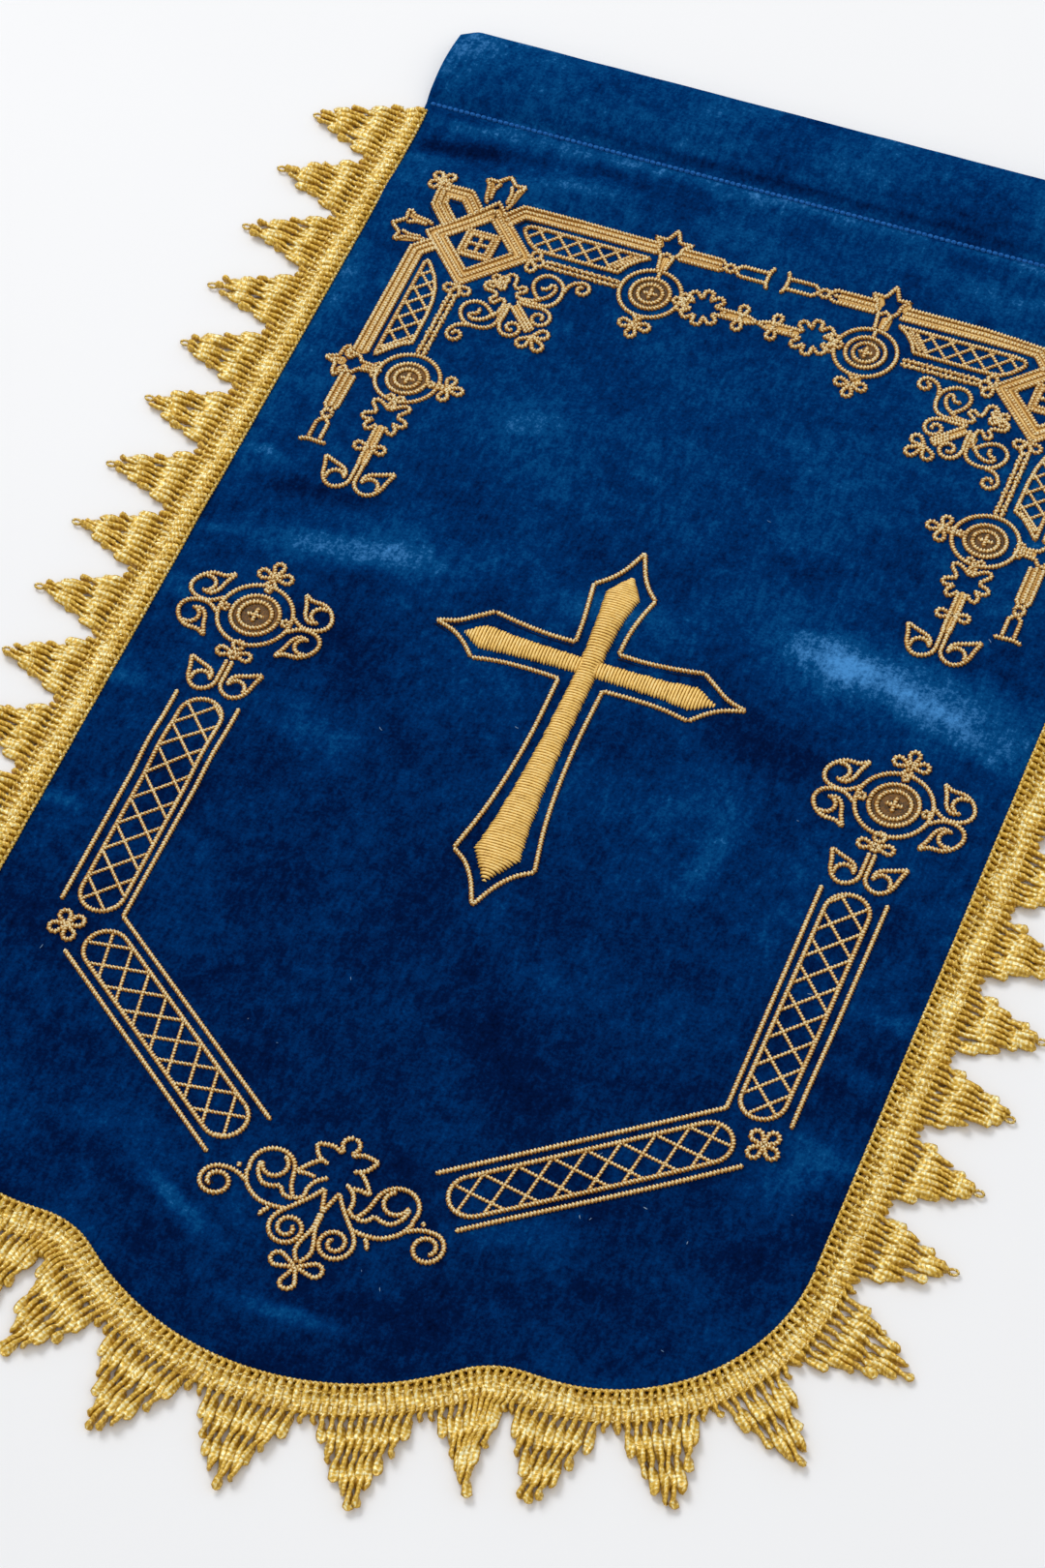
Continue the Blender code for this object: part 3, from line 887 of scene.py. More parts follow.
def star(x, y, outer, inner, count, start):
    """Wavy star: one closed line that runs out and in again."""
    points = []
    for index in range(2 * count):
        angle = math.radians(start + 180 * index / count)
        reach = inner if index % 2 else outer
        points.append((x + reach * math.cos(angle), y + reach * math.sin(angle)))
        if index % 2 == 0:
            points[-1:] = [
                (x + reach * math.cos(angle + side), y + reach * math.sin(angle + side))
                for side in (-1.9 / outer, 1.9 / outer)
            ]
    return [(curved(points, True, 4), True)]


def rosette(x, y, radii, arm):
    """Rings with a small upright cross in the middle."""
    lines = [circle(x, y, radius) for radius in radii]
    return lines + opened([(x - arm, y), (x + arm, y)], [(x, y - arm), (x, y + arm)])


def chain(start, end):
    """Two threads that meet and part in turn between two points."""
    length = math.dist(start, end)
    ux, uy = (end[0] - start[0]) / length, (end[1] - start[1]) / length
    steps = round(2 * length)
    lines = []
    for side in (-1, 1):
        line = []
        for step in range(steps + 1):
            run = length * step / steps
            aside = side * (1.45 + 0.6 * math.cos(math.tau * run / 2.9))
            line.append((start[0] + ux * run - uy * aside, start[1] + uy * run + ux * aside))
        lines.append(line)
    return opened(*lines)


def inside_outline(outline):
    """Test for points inside a closed outline."""
    def test(x, y):
        within = False
        for (ax, ay), (bx, by) in zip(outline, outline[1:] + outline[:1]):
            if (ay > y) != (by > y) and x < (bx - ax) * (y - ay) / (by - ay) + ax:
                within = not within
        return within
    return test


def lattice(inside, middle, direction, half_length, half_width, pitch, shifts=(0.0, 0.0)):
    """Crossing diagonal lines inside a shape, at half a right angle to its direction."""
    turn = math.radians(direction)
    ux, uy = math.cos(turn), math.sin(turn)
    lines = []
    reach = half_length + half_width
    for side, shift in zip((-1, 1), shifts):
        count = int(reach // pitch) + 1
        for index in range(-count, count + 1):
            run = []
            steps = 4 * round(half_width) + 1
            for step in range(steps):
                across = half_width * (2 * step / (steps - 1) - 1)
                along = (index + shift) * pitch + side * across
                spot = (middle[0] + ux * along - uy * across, middle[1] + uy * along + ux * across)
                if inside(*spot):
                    run.append(spot)
            if len(run) > 4:
                lines.append([run[0], run[-1]])
    return opened(*lines)


# The banner's ornament

CORNER = (-140.5, 285.5)
DIAMOND = (-140.9, 285.2)
TOP_STAR = (-141.3, 318.7)
SIDE_STAR = (-139.7, 320.6)


def reflect_corner(lines):
    """Lines mirrored about the corner ornament's diagonal."""
    x, y = CORNER
    return [([(x - (py - y), y - (px - x)) for px, py in line], closed) for line, closed in lines]


def square(half):
    """Corners of an upright square in the middle of the corner's diamond."""
    x, y = DIAMOND
    return [(x - half, y - half), (x + half, y - half), (x + half, y + half), (x - half, y + half)]


def diamond_knot():
    """Diamond at the corner: nested diamonds round nested squares."""
    x, y = DIAMOND
    lines = []
    for half in (26.4, 21.7, 17.0):
        lines.append(([(x + half, y), (x, y + half), (x - half, y), (x, y - half)], True))
    for half in (7.8, 5.4):
        lines.append((square(half), True))
    return lines + opened([(x - 5.4, y), (x + 5.4, y)], [(x, y - 5.4), (x, y + 5.4)])


def corner_loop():
    """Three-line band looped round the diamond's outer corner, with its clover."""
    lines = []
    for offset in (0.0, 3.0, 6.0):
        shift = 0.707 * offset
        lines.append([
            (-147.0 - shift, 305.0 - shift),
            (-155.0 - 0.414 * offset, 313.1 - offset),
            (-171.0 + offset, 313.1 - offset),
            (-170.8 + offset, 300.7 + 0.414 * offset),
            (-161.0 + shift, 291.0 + shift),
        ])
    return opened(*lines) + petals(-171.6, 315.4, (45, 135, 225, 315), 4.4, 2.2)


def tulip_star(x, y):
    """Three-pointed star flower standing on a band, each lobe worked in double lines."""
    outline = [
        (-5.0, -9.6), (-6.6, -6.5), (-7.4, 0.5), (-9.8, 3.2), (-9.0, 4.6), (-4.6, 3.8), (0, 9.2),
        (4.6, 3.8), (9.2, 4.8),
        (9.0, 3.2), (6.6, 0.2), (6.0, -7.0), (4.4, -9.6),
    ]
    inner = (
        [(-4.4, -7.0), (-4.6, -1.0), (-2.6, 3.4)], [(2.8, 3.2), (4.4, -1.2), (3.8, -7.0)],
    )
    return moved(opened(outline, *inner), x, y)


def band_star(x, y):
    """Star where a band ends."""
    outline = [
        (-9.2, 5.8), (-3.4, 5.5), (-0.2, 12.6), (3.0, 5.5), (9.4, 5.8), (6.0, 2.4), (5.0, -2.4),
        (2.4, -4.6), (0, -2.4), (-2.6, -4.6), (-5.2, -2.0), (-5.8, 2.4),
    ]
    return moved([(outline, True)], x, y)


def band_column():
    """Narrow band, ring and column that run on from a band's star, and the cap at the end."""
    lines = opened(
        [(-50, 315.2), (-29, 315.2), (-26.6, 312.4)],
        [(-50, 312), (-28.5, 312)],
        [(-50, 308.8), (-29, 308.8), (-26.6, 311.2)],
        [(-6, 314.8), (-19, 314.8), (-21.8, 311.8), (-19, 308.6), (-6, 308.6)],
        curved([(-4.2, 318.6), (-5.6, 315), (-5.6, 308.5), (-4.2, 305)]),
    )
    return lines + [circle(-24.3, 311.8, 2.2)]


def upper_band():
    """Three-line band from the diamond to its star."""
    lines = []
    for offset in (0.0, 3.0, 6.0):
        lines.append([
            (-137.2 + 0.707 * offset, 305.2 - 0.707 * offset),
            (-128.9 + 0.414 * offset, 313.4 - 0.80 * offset),
            (-115.0, 314.4 - 0.90 * offset),
            (-100.0, 315.2 - offset),
            (-61.5 + offset * 0.3, 315.1 - offset),
        ])
    return opened(*lines)


def side_band():
    """Three-line band down the side, its star, and the column and foot below it."""
    lines = []
    for offset in (0.0, 3.0, 6.0):
        shift = 0.707 * offset
        lines.append([
            (-163.0 + shift, 281.3 - shift), (-170.5 + offset, 273.8 - 0.414 * offset),
            (-170.5 + 1.04 * offset, 204 + offset * 0.2),
        ])
    point = [
        (-181.5, 197), (-175.4, 199.2), (-174.8, 204.6), (-173.0, 206.6), (-171.2, 203.2),
        (-166.0, 202.2), (-164.2, 199.4), (-157, 198.6),
    ]
    lines += [point, [(x, 393.8 - y) for x, y in point]]
    lines += [
        [(-177.5, 196.9), (-172.2, 196.9)],
        [(-173.0, 204.0), (-170.6, 199.4), (-168.4, 202.0)],
        [(-173.0, 189.8), (-170.6, 194.4), (-168.4, 191.8)],
        [(-162, 196.9), (-153, 196.8)],
        [(-169.6, 190), (-169.6, 169.5), (-167.6, 166.8)], [(-166.6, 190.5), (-166.6, 168.6)],
        [(-163.6, 190), (-163.6, 169.5), (-165.6, 166.8)],
        [(-169.2, 148.6), (-169.2, 159), (-166.4, 162), (-163.6, 159), (-163.6, 148.6)],
        curved([(-173.4, 146.6), (-169, 147.9), (-164, 147.6), (-160, 147.6)]),
    ]
    return opened(*lines) + [circle(-166.5, 164.4, 2.3)] + petals(-155.8, 196.8, (90, -90), 2.8, 1.4)


ACROSS_PANEL = [
    (-124.2, 301.9), (-122.4, 304.2), (-118.0, 304.8), (-61.8, 304.6), (-66.2, 301.6), (-70.6, 296.6),
    (-73.0, 291.4), (-107, 291.2), (-114.6, 291.8), (-118.8, 294.6), (-122.2, 298.6),
]
DOWN_PANEL = [
    (-160.4, 205.4), (-160.6, 266.8), (-159.4, 268.2), (-156.6, 264.8), (-152.8, 259.6),
    (-149.6, 252.6), (-147.8, 245.0), (-147.0, 236.0), (-146.8, 218.0), (-151.2, 215.6),
    (-156.2, 210.4),
]


def panels():
    """Lattice panels beside the two bands, with the close lines at their slanting ends."""
    ends = opened(
        [(-79.4, 292.6), (-70.4, 303.2)], [(-76.0, 292.6), (-66.6, 303.2)],
        [(-159.2, 209.4), (-148.4, 218.8)],
    )
    return [(ACROSS_PANEL, True), (DOWN_PANEL, True), *ends]


def fine_corner():
    """The finer threads of the corner's two lattices."""
    lines = lattice(inside_outline(ACROSS_PANEL), (-92.5, 298), 0, 34, 6.6, 9.6)
    return lines + lattice(inside_outline(DOWN_PANEL), (-154.0, 235.4), 90, 34, 6.6, 9.6)


def filled_bands():
    """Middle lines of what is filled with flat stitching, by width in millimetres."""
    x, y = DIAMOND
    frame = [(x + 21.7, y), (x, y + 21.7), (x - 21.7, y), (x, y - 21.7)]
    star_lobes = opened([(-7.8, 3.2), (-5.7, -6.0)], [(7.8, 3.4), (5.4, -6.0)])
    return {
        7.2: [(frame, True)] + opened(
            [(-149.1, 302.9), (-156.2, 310.1), (-168, 310.1), (-167.8, 301.9), (-158.9, 293.1)],
            [(-135.0, 303.0), (-127.6, 310.9), (-115, 311.6), (-100, 312.2), (-60.5, 312.1)],
            [(-160.8, 279.2), (-167.4, 272.3), (-167.4, 204)],
            [(-38.2, 284.4), (-35.0, 284.4)], [(-123.8, 267.8), (-121.8, 265.8)],
        ),
        5.4: opened(
            [(-50, 312), (-28.8, 312)], [(-166.6, 190.5), (-166.6, 168.6)],
            [(-54.8, 308), (-54.8, 299.5)], [(-163.5, 196.9), (-155, 196.9)],
            [(-173.6, 199.2), (-173.6, 194.6)], [(-110.8, 256.0), (-98.2, 243.4)],
        ),
        3.8: [(square(6.6), True)] + moved(star_lobes, *TOP_STAR)
        + reflect_corner(moved(star_lobes, *SIDE_STAR)) + opened(
            [(-174.6, 315.4), (-168.6, 315.4)], [(-171.6, 312.4), (-171.6, 318.4)],
            [(-140, 180), (-140, 176.5)], [(-140, 166), (-140, 142)], [(-19.5, 284.3), (-3, 284.3)],
            [(-54, 270), (-54, 262.5)], [(-129, 196.6), (-118, 196.6)], [(-180, 196.9), (-173, 196.9)],
            [(-173, 204.6), (-171.4, 200)], [(-173, 189.2), (-171.4, 193.8)],
            [(-62.4, 317.9), (-60.0, 313.0)], [(-47.4, 317.9), (-49.8, 313.0)],
            [(-108.5, 260.3), (-101.5, 260.8)], [(-115.8, 253.5), (-115.3, 246.5)],
        ),
    }


def small_loops(lines):
    """Short middle lines of the loops so small that their thread leaves no velvet inside."""
    middles = []
    for points, closed in lines:
        place = np.array(points)
        middle = place.mean(axis=0)
        along = np.linalg.svd(place - middle, full_matrices=False)[2][0]
        length = np.abs((place - middle) @ along).max()
        width = np.abs((place - middle) @ (-along[1], along[0])).max()
        if closed and width < 3.6:
            run = max(length - width, 0.4) * along
            middles.append([tuple(middle - run), tuple(middle + run)])
    return opened(*middles)


def deep_fills():
    """Middle lines of the deep flat stitching in the rosettes, by width in millimetres."""
    places = [((-54, 284), 5.8), ((-140, 196.5), 5.9), ((-150, 45.5), 7.5)]
    return {
        4.8: [circle(*place, radius - 3.0) for place, radius in places],
        2.4: [circle(*place, radius + 1.8) for place, radius in places],
    }


def narrow_gaps():
    """Middle lines of the gaps between bars and flank lines, where the pile is flattened and painted with
    thread shadow.
    """
    return opened(
        [(-162.4, -9), (-162.6, -119)], [(-137.8, -9), (-138.4, -121)],
        [(-128.9, -131.6), (-48.5, -189.4)], [(-143.1, -151.4), (-62.5, -209.2)],
    )


def spray():
    """Wavy star with two scrolls and a stem, inside the corner: the half above the diagonal."""
    half = opened(
        curved([(-119.3, 265.1), (-120.5, 268.9), (-120.4, 272.1), (-118.2, 273.4), (-115.9, 272.1),
                (-115.5, 269.4), (-115.1, 266.9), (-112.9, 265.9), (-111.4, 267.7), (-109.4, 267.4),
                (-108.9, 265.4), (-110.9, 264.0), (-112.3, 262.6), (-111.5, 261.0), (-108.8, 260.6),
                (-104.5, 261.0), (-101.6, 263.0), (-98.4, 265.4), (-96.8, 268.2), (-96.2, 271.0),
                (-97.3, 273.3), (-98.9, 273.2), (-99.5, 271.2), (-101.2, 269.8), (-103.6, 270.3)]),
        curved([(-100.4, 262.0), (-103.9, 265.1), (-106.6, 268.9), (-107.2, 273.2), (-105.0, 276.9),
                (-101.8, 278.4), (-98.6, 278.0), (-95.3, 276.1), (-93.2, 273.4), (-92.4, 269.9),
                (-92.4, 266.7), (-93.6, 262.9), (-96.2, 260.4), (-100.0, 259.6), (-110.4, 259.4)]),
        curved([(-92.2, 270.4), (-91.4, 274.8), (-89.2, 278)]) + arc(-84.8, 275.1, 4.5, 138, -300, 1.0),
        curved([(-111.0, 258.0), (-104, 257.8), (-98.6, 258.3)]) + arc(-97.0, 252.0, 5.6, 72, -420, 0.9),
        [(-109.9, 257.2), (-97.0, 244.4)],
    )
    return half + reflect_corner(half) + opened([(-104.8, 249.9), (-98.0, 242.9)])


def corner_ornament():
    """Whole corner with its bands, panels, spray, chains and clovers."""
    lines = diamond_knot() + corner_loop() + panels() + upper_band() + side_band() + spray()
    lines += tulip_star(*TOP_STAR) + reflect_corner(tulip_star(*SIDE_STAR))
    lines += petals(-122.8, 266.8, (45, 135, 225, 315), 3.0, 1.7)
    lines += petals(-96.2, 240.2, (31, -121), 5.6, 2.5) + petals(-96.2, 240.2, (-45,), 7.0, 2.5)
    lines += petals(-114.4, 284.2, (65, 0, -65), 4.6, 2.2)
    lines += chain((-107, 284.6), (-69.6, 284.4)) + chain((-140.4, 252), (-140.4, 212.5))
    return lines + petals(-139.9, 257.8, (-25, -90, -155), 4.6, 2.2)


def top_centre():
    """Star, rosette and links from the corner to the banner's middle line."""
    lines = band_star(-55, 313) + band_column() + rosette(-54, 284, (14.7, 9.3, 5.8), 3.7)
    lines += opened(
        [(-58, 308.6), (-57, 304), (-56.2, 299)], [(-51.6, 308.6), (-52.4, 304), (-53.0, 299)],
        [(-56.6, 269.6), (-54, 266), (-51.4, 269.6)], [(-54.3, 298), (-54.2, 294)],
    )
    lines += petals(-54, 263.4, (180, 0, -90), 5.2, 2.2)
    lines += petals(-37.2, 284.3, (100, 180, -100), 3.4, 1.8)
    lines += star(-27.9, 284.3, 10.3, 5.8, 8, 0)
    lines += opened([(-20, 286.3), (-6, 286.3), (-0.9, 284.3)], [(-20, 282.3), (-6, 282.3), (-0.9, 284.3)])
    return lines + petals(-9.3, 284.3, (90, -90), 5.6, 2.1)


def leaf_pair(x, y):
    """Two leaves that curl up from a double stem's foot: y is the foot."""
    right = opened(
        curved([(1.3, 18), (1.3, 9), (1.5, 4), (4, 0.6), (8.2, -0.8), (12, 1), (14.4, 5), (15.4, 9.6),
                (17.2, 15.2)]),
        curved([(17.2, 15.2), (12, 13), (6.4, 10.8), (4.4, 8), (4.6, 5)]),
        arc(8.1, 4.8, 3.7, 175, -25, 4.6),
    )
    return moved(right + reflect_x(right), x, y)


def side_rosette():
    """Rosette under the side chain with the wavy star, stem and leaves that hang from it."""
    lines = rosette(-140, 196.5, (15.2, 9.5, 5.9), 3.8)
    lines += petals(-120.2, 196.5, (0, 90, -90), 5.4, 2.2) + petals(-126, 196.6, (180, 0), 2.4, 1.3)
    lines += petals(-140, 181.2, (35, 145, -90), 3.0, 1.5)
    tips = [
        (-135.6, 178.6), (-132.4, 179.6), (-131.0, 177.6), (-134.6, 172.6), (-130.2, 170.6),
        (-129.4, 168.4), (-131.6, 167.2), (-134.8, 167.8), (-132.6, 164.6), (-133.6, 162.0),
        (-136.0, 162.8), (-137.8, 165.4),
    ]
    lines += opened(curved([(-140, 175), *tips]), curved([(-140, 175), *[(-280 - x, y) for x, y in tips]]))
    lines += opened([(-141.7, 165), (-141.7, 142)], [(-138.3, 165), (-138.3, 142)])
    lines += petals(-140, 152, (0, 180), 5.4, 2.1)
    return lines + leaf_pair(-140, 126.6)


def standing_rosette():
    """Rosette above the upright bar, with its clover, four scroll leaves and leaf pair."""
    x, y = -150, 45.5
    lines = rosette(x, y, (17.0, 11.0, 7.5), 4.2)
    lines += petals(x, 67.4, (90, 170, 10), 5.8, 2.3) + opened([(x - 3, 62), (x, 66), (x + 3, 62)])
    lines += [circle(x, 60.6, 1.2), circle(x, 27.2, 2.4)]
    lines += petals(x, 22.2, (180, 0), 5.8, 2.2) + [circle(x, 21.4, 1.7)]
    leaf = opened(
        curved([(17, 18.5), (21, 16), (27, 15.6), (31.6, 12.4), (33.8, 7.5), (32.4, 3), (28, 0.6),
                (22, 0.8), (16.4, 4.6)]),
        curved([(17, 18.5), (19.6, 12.6), (21, 7.8), (24, 4.6), (28.4, 5.4)]),
        arc(27.6, 9.0, 4.6, 60, 250, 3.8),
    )
    quarter = moved(leaf, x, y)
    half = quarter + reflect_y(quarter, y)
    lines += half + reflect_x(half, x) + [circle(x + 14.6, y, 1.5), circle(x - 14.6, y, 1.5)]
    return lines + leaf_pair(x, 0.2)


def capsule(start, end, radius, pitch, shifts):
    """Outline of a long rounded panel, and the lattice that fills it."""
    length = math.dist(start, end)
    direction = math.degrees(math.atan2(end[1] - start[1], end[0] - start[0]))
    outline = arc(*end, radius, direction + 90, direction - 90)
    outline += arc(*start, radius, direction - 90, direction - 270)
    middle = ((start[0] + end[0]) / 2, (start[1] + end[1]) / 2)
    fill = lattice(
        inside_outline(outline), middle, direction, length / 2 + radius, radius, pitch, shifts
    )
    return [(outline, True)], fill


def side_bars():
    """Upright and slanting bars with their flank lines and the clover at the bend; their lattices."""
    upright, upright_fill = capsule((-150, -14.8), (-150, -114.7), 9.8, 14.5, (0.36, -0.27))
    slanting, slanting_fill = capsule((-136, -141.5), (-55.2, -199.5), 9.8, 14.5, (0.615, 0.31))
    lines = upright + slanting + opened(
        [(-165, -4.6), (-165.2, -124.4)],
        [(-135.4, -4.6), (-136.6, -123.2), (-36.7, -194.5)],
        [(-153, -147.3), (-55, -217.7)],
    )
    lines += petals(-157.3, -135.5, (40, 122, 210, 302), 5.2, 2.5)
    return lines, upright_fill + slanting_fill


def palmette():
    """Scrolled palmette at the foot: right halves of its flower and scrolls, mirrored."""
    flower = opened(
        arc(0, -194.4, 3.6, 90, -50) + [(2.2, -199)],
        curved([(2.2, -199), (7, -196.9), (13.8, -198)]),
        curved([(13.8, -198), (10.6, -203.4), (5.6, -205.8)]),
        curved([(8.6, -204.6), (12.8, -208.6), (16.4, -213.4)]),
        [(16.4, -213.4), (12, -212.8), (8, -213.2)],
    )
    half = opened(
        curved([(4.0, -211.8), (8.2, -215), (10.2, -219.5), (10.2, -223.4), (13.8, -225.8)]),
        [(0, -228.2), (3.2, -217.0)],
        curved([(3.2, -217.0), (7, -222.6), (11.4, -227.8), (15.6, -232.4)])
        + arc(10.3, -239.4, 8.3, 38, -600, 1.8),
        curved([(13.8, -225.8), (16.8, -220.4), (18.2, -214.6)]) + arc(27.6, -215.4, 9.4, 168, -20)
        + curved([(36.8, -220.6), (33.8, -226.4), (27.5, -230.8), (21, -231.8), (14.6, -231.2)]),
        arc(27.0, -213.4, 5.4, 112, 352) + [(33, -214)],
        curved([(33.2, -214), (32.2, -219), (28.6, -223.2), (24, -223.2), (20.8, -221.8)]),
        curved([(20.8, -221.8), (18.4, -225.2), (14, -226)]),
        curved([(35.4, -224.8), (39, -222.6), (43.5, -221.4)]) + arc(46.6, -229.2, 7.6, 80, -420, 3.2),
        [(40.4, -217.6), (41.4, -219.8)],
        curved([(21, -233), (22.8, -235), (24, -238)]),
        curved([(0.5, -228.2), (0.6, -236), (2.8, -243), (3.2, -248), (0.4, -253)]),
    )
    scrolls = half + reflect_x(half) + petals(0, -255, (172, 8, -90), 8.2, 3.1)
    return moved(flower + reflect_x(flower), -0.4, 0) + moved(scrolls, 0.8, 0)


def cross_outline():
    """Outline of the cross: pointed, flared arms."""
    right = [
        curved([(0, 138), (4.6, 126.5), (8.8, 119.5), (14.6, 113)]),
        curved([(14.6, 113), (12.4, 101), (10.8, 90), (10.2, 79.4)]),
        curved([(10.2, 79.4), (24, 79.4), (38, 80.8), (49.5, 82.6)]),
        curved([(49.5, 82.6), (57, 77.6), (64, 73.2), (73, 70.6)]),
        curved([(73, 70.6), (64, 67.8), (57.5, 63.6), (51, 57)]),
        curved([(51, 57), (38, 59.2), (24, 59.8), (10.4, 59.4)]),
        curved([(10.4, 59.4), (10.2, 30), (11.4, 5), (14, -18), (18.6, -41)]),
        curved([(18.6, -41), (11.5, -46), (5.5, -54), (0, -66)]),
    ]
    return opened(*right) + reflect_x(opened(*right))


def arm_width(stops, place):
    """Half width of a satin arm at a place along it."""
    return float(np.interp(place, [stop[0] for stop in stops], [stop[1] for stop in stops]))


UPRIGHT = [(-53, 0.4), (-38, 10.6), (-22, 8.4), (0, 6.6), (25, 5.3), (55, 4.8), (80, 5.0), (96, 6.2),
           (110.5, 8.2), (123, 0.4)]
CROSSBAR = [(-59.5, 0.4), (-50, 6.4), (-36, 5.0), (-15, 4.4), (0, 4.4), (15, 4.4), (36, 5.0), (49, 6.4),
            (59.5, 0.4)]


def draped(lines, lift, layer_lift=0.0, spacing=1.2):
    """Ornament lines laid on the cloth, with a point about every spacing, in millimetres."""
    result = []
    for number, (line, closed) in enumerate(lines):
        points = [*line, line[0]] if closed else list(line)
        spots = [points[0]]
        for start, end in zip(points, points[1:]):
            steps = max(1, math.ceil(math.dist(start, end) / spacing))
            spots += [
                (start[0] + (end[0] - start[0]) * step / steps, start[1] + (end[1] - start[1]) * step / steps)
                for step in range(1, steps + 1)
            ]
        if closed:
            spots.pop()
        x = np.array([spot[0] for spot in spots]) * MM
        y = (np.array([spot[1] for spot in spots]) + DESIGN_Y) * MM
        z = cloth_top(x, y) + lift + layer_lift * (number % 3)
        result.append((list(zip(x, y, z)), closed))
    return result


class BANNER_OT_velvet(Operator):
    """Make the velvet: one cloth from the lower edge over the sleeve and round to its back."""

    bl_idname = "banner.velvet"
    bl_label = "Velvet"

    COLUMNS = 124
    FIELD_ROWS = 204
    FACE_ROWS = 17
    FOLD_ROWS = 7
    BACK_ROWS = 12
    SEAM_DENT = 0.0016
    SEAM_DENT_RUN = 0.0028
    EDGE_ROLL_RUN = 0.0030
    JOIN_RUN = 0.012

    def column(self, x_place):
        """Points of the cloth's face from the lower edge, up and over, for one column."""
        cloth = settings("banner_cloth")
        crowding = EDGE_CROWDING * math.pi / 2
        place = math.sin(x_place * crowding) / math.sin(crowding)
        x = place * FIELD_WIDTH / 2
        bottom = lower_edge(x)
        ys = bottom + (SEAM_Y - bottom) * np.arange(self.FIELD_ROWS) / self.FIELD_ROWS
        widening = (SLEEVE_WIDTH / FIELD_WIDTH - 1) * ease((SEAM_Y - ys) / self.JOIN_RUN)
        xs = x * (1 + widening)
        zs = cloth_top(xs, ys)
        points = list(zip(xs, ys, zs))
        x = place * SLEEVE_WIDTH / 2
        points += [(x, *sleeve_face(x, row / self.FACE_ROWS)) for row in range(self.FACE_ROWS)]
        points += [(x, *sleeve_fold(x, math.pi * row / self.FOLD_ROWS)) for row in range(self.FOLD_ROWS)]
        back_y = sleeve_face(x, 1.0)[0]
        for row in range(self.BACK_ROWS + 1):
            points.append((x, back_y + (SEAM_Y - back_y) * row / self.BACK_ROWS, 0.0))
        overhang = SLEEVE_WIDTH / 2 * (1 - abs(place))
        roll = cloth.edge_roll * max(0.0, 1 - overhang / self.EDGE_ROLL_RUN) ** 2
        rolled = []
        for px, py, pz in points:
            if pz > cloth.thickness:
                dent = self.SEAM_DENT * math.exp(-((py - SEAM_Y) / self.SEAM_DENT_RUN) ** 2)
                rough = noise.noise(Vector((px * 55, py * 55, 3.0))) * 0.00022
                pz = max(pz - dent - roll + rough, cloth.thickness)
            rolled.append((px, py, pz))
        return rolled

    def paint_nap_sheen(self, mesh):
        """Store the painted sheen and shade, how bright the velvet is painted, at each point."""
        places = np.empty(len(mesh.vertices) * 3)
        mesh.vertices.foreach_get("co", places)
        x, y = places[0::3], places[1::3]
        nap_sheen = np.interp(y / MM - DESIGN_Y, *zip(*NAP_SHEEN_RUN))
        for row in NAP_SHEEN_PATCHES:
            nap_sheen += patch(x, y, row, MM, DESIGN_Y)
        mesh.attributes.new("nap_sheen", "FLOAT", "POINT").data.foreach_set("value", nap_sheen)

    def execute(self, context):
        columns = [self.column(2 * index / self.COLUMNS - 1) for index in range(self.COLUMNS + 1)]
        count = len(columns[0])
        faces = []
        for index in range(self.COLUMNS):
            for row in range(count - 1):
                near, far = index * count + row, (index + 1) * count + row
                faces.append((near, far, far + 1, near + 1))
        mesh = bpy.data.meshes.new("velvet_cloth")
        mesh.from_pydata([point for column in columns for point in column], [], faces)
        velvet = new_object("velvet_cloth", mesh)
        solidify = velvet.modifiers.new("thickness", "SOLIDIFY")
        solidify.thickness = context.scene.banner_cloth.thickness
        solidify.offset = -1.0
        bake_modifiers(velvet)
        velvet.data.shade_smooth()
        velvet.data.set_sharp_from_angle(angle=math.radians(60))
        velvet.data.materials.append(velvet_material())
        self.paint_nap_sheen(velvet.data)
        belongs(velvet, "velvet", "velvet_field", "rod_sleeve")
        return {"FINISHED"}


class BANNER_OT_seam(Operator):
    """Sew the row of topstitches that closes the rod sleeve."""

    bl_idname = "banner.seam"
    bl_label = "Sleeve seam"

    END_GAP = 0.004
    STITCH_LENGTH = 0.0029
    STITCH_WIDTH = 0.0021
    LIFT = 0.0007

    def execute(self, context):
        half = SLEEVE_WIDTH / 2 - self.END_GAP
        dent = BANNER_OT_velvet.SEAM_DENT
        xs = np.linspace(-half, half, 80)
        ys = np.full_like(xs, SEAM_Y - 0.0004)
        zs = cloth_top(xs, ys) - dent + self.LIFT + 0.0003
        material, tree, shader = start_material("polyester_stitching")
        # Spun polyester, a little lighter than the pile it lies in
        place = add_node(tree, "ShaderNodeTexCoord").outputs["Object"]
        fibre = add_node(tree, "ShaderNodeTexNoise", {"Vector": place, "Scale": 1400.0, "Detail": 2.0})
        color = ramp(tree, fibre.outputs[0], [(0.3, to_linear("#0B478E")), (0.7, to_linear("#2A72BC"))])
        tree.links.new(color, shader.inputs["Base Color"])
        shader.inputs["Roughness"].default_value = 0.9
        shader.inputs["Specular IOR Level"].default_value = 0.1
        seam = run_tree("sleeve_topstitch", [(list(zip(xs, ys, zs)), False)], stitch_tree(), {
            "Pitch": context.scene.banner_cloth.stitch_pitch,
            "Length": self.STITCH_LENGTH,
            "Width": self.STITCH_WIDTH,
            "Material": material,
        })
        belongs(seam, "velvet")
        return {"FINISHED"}


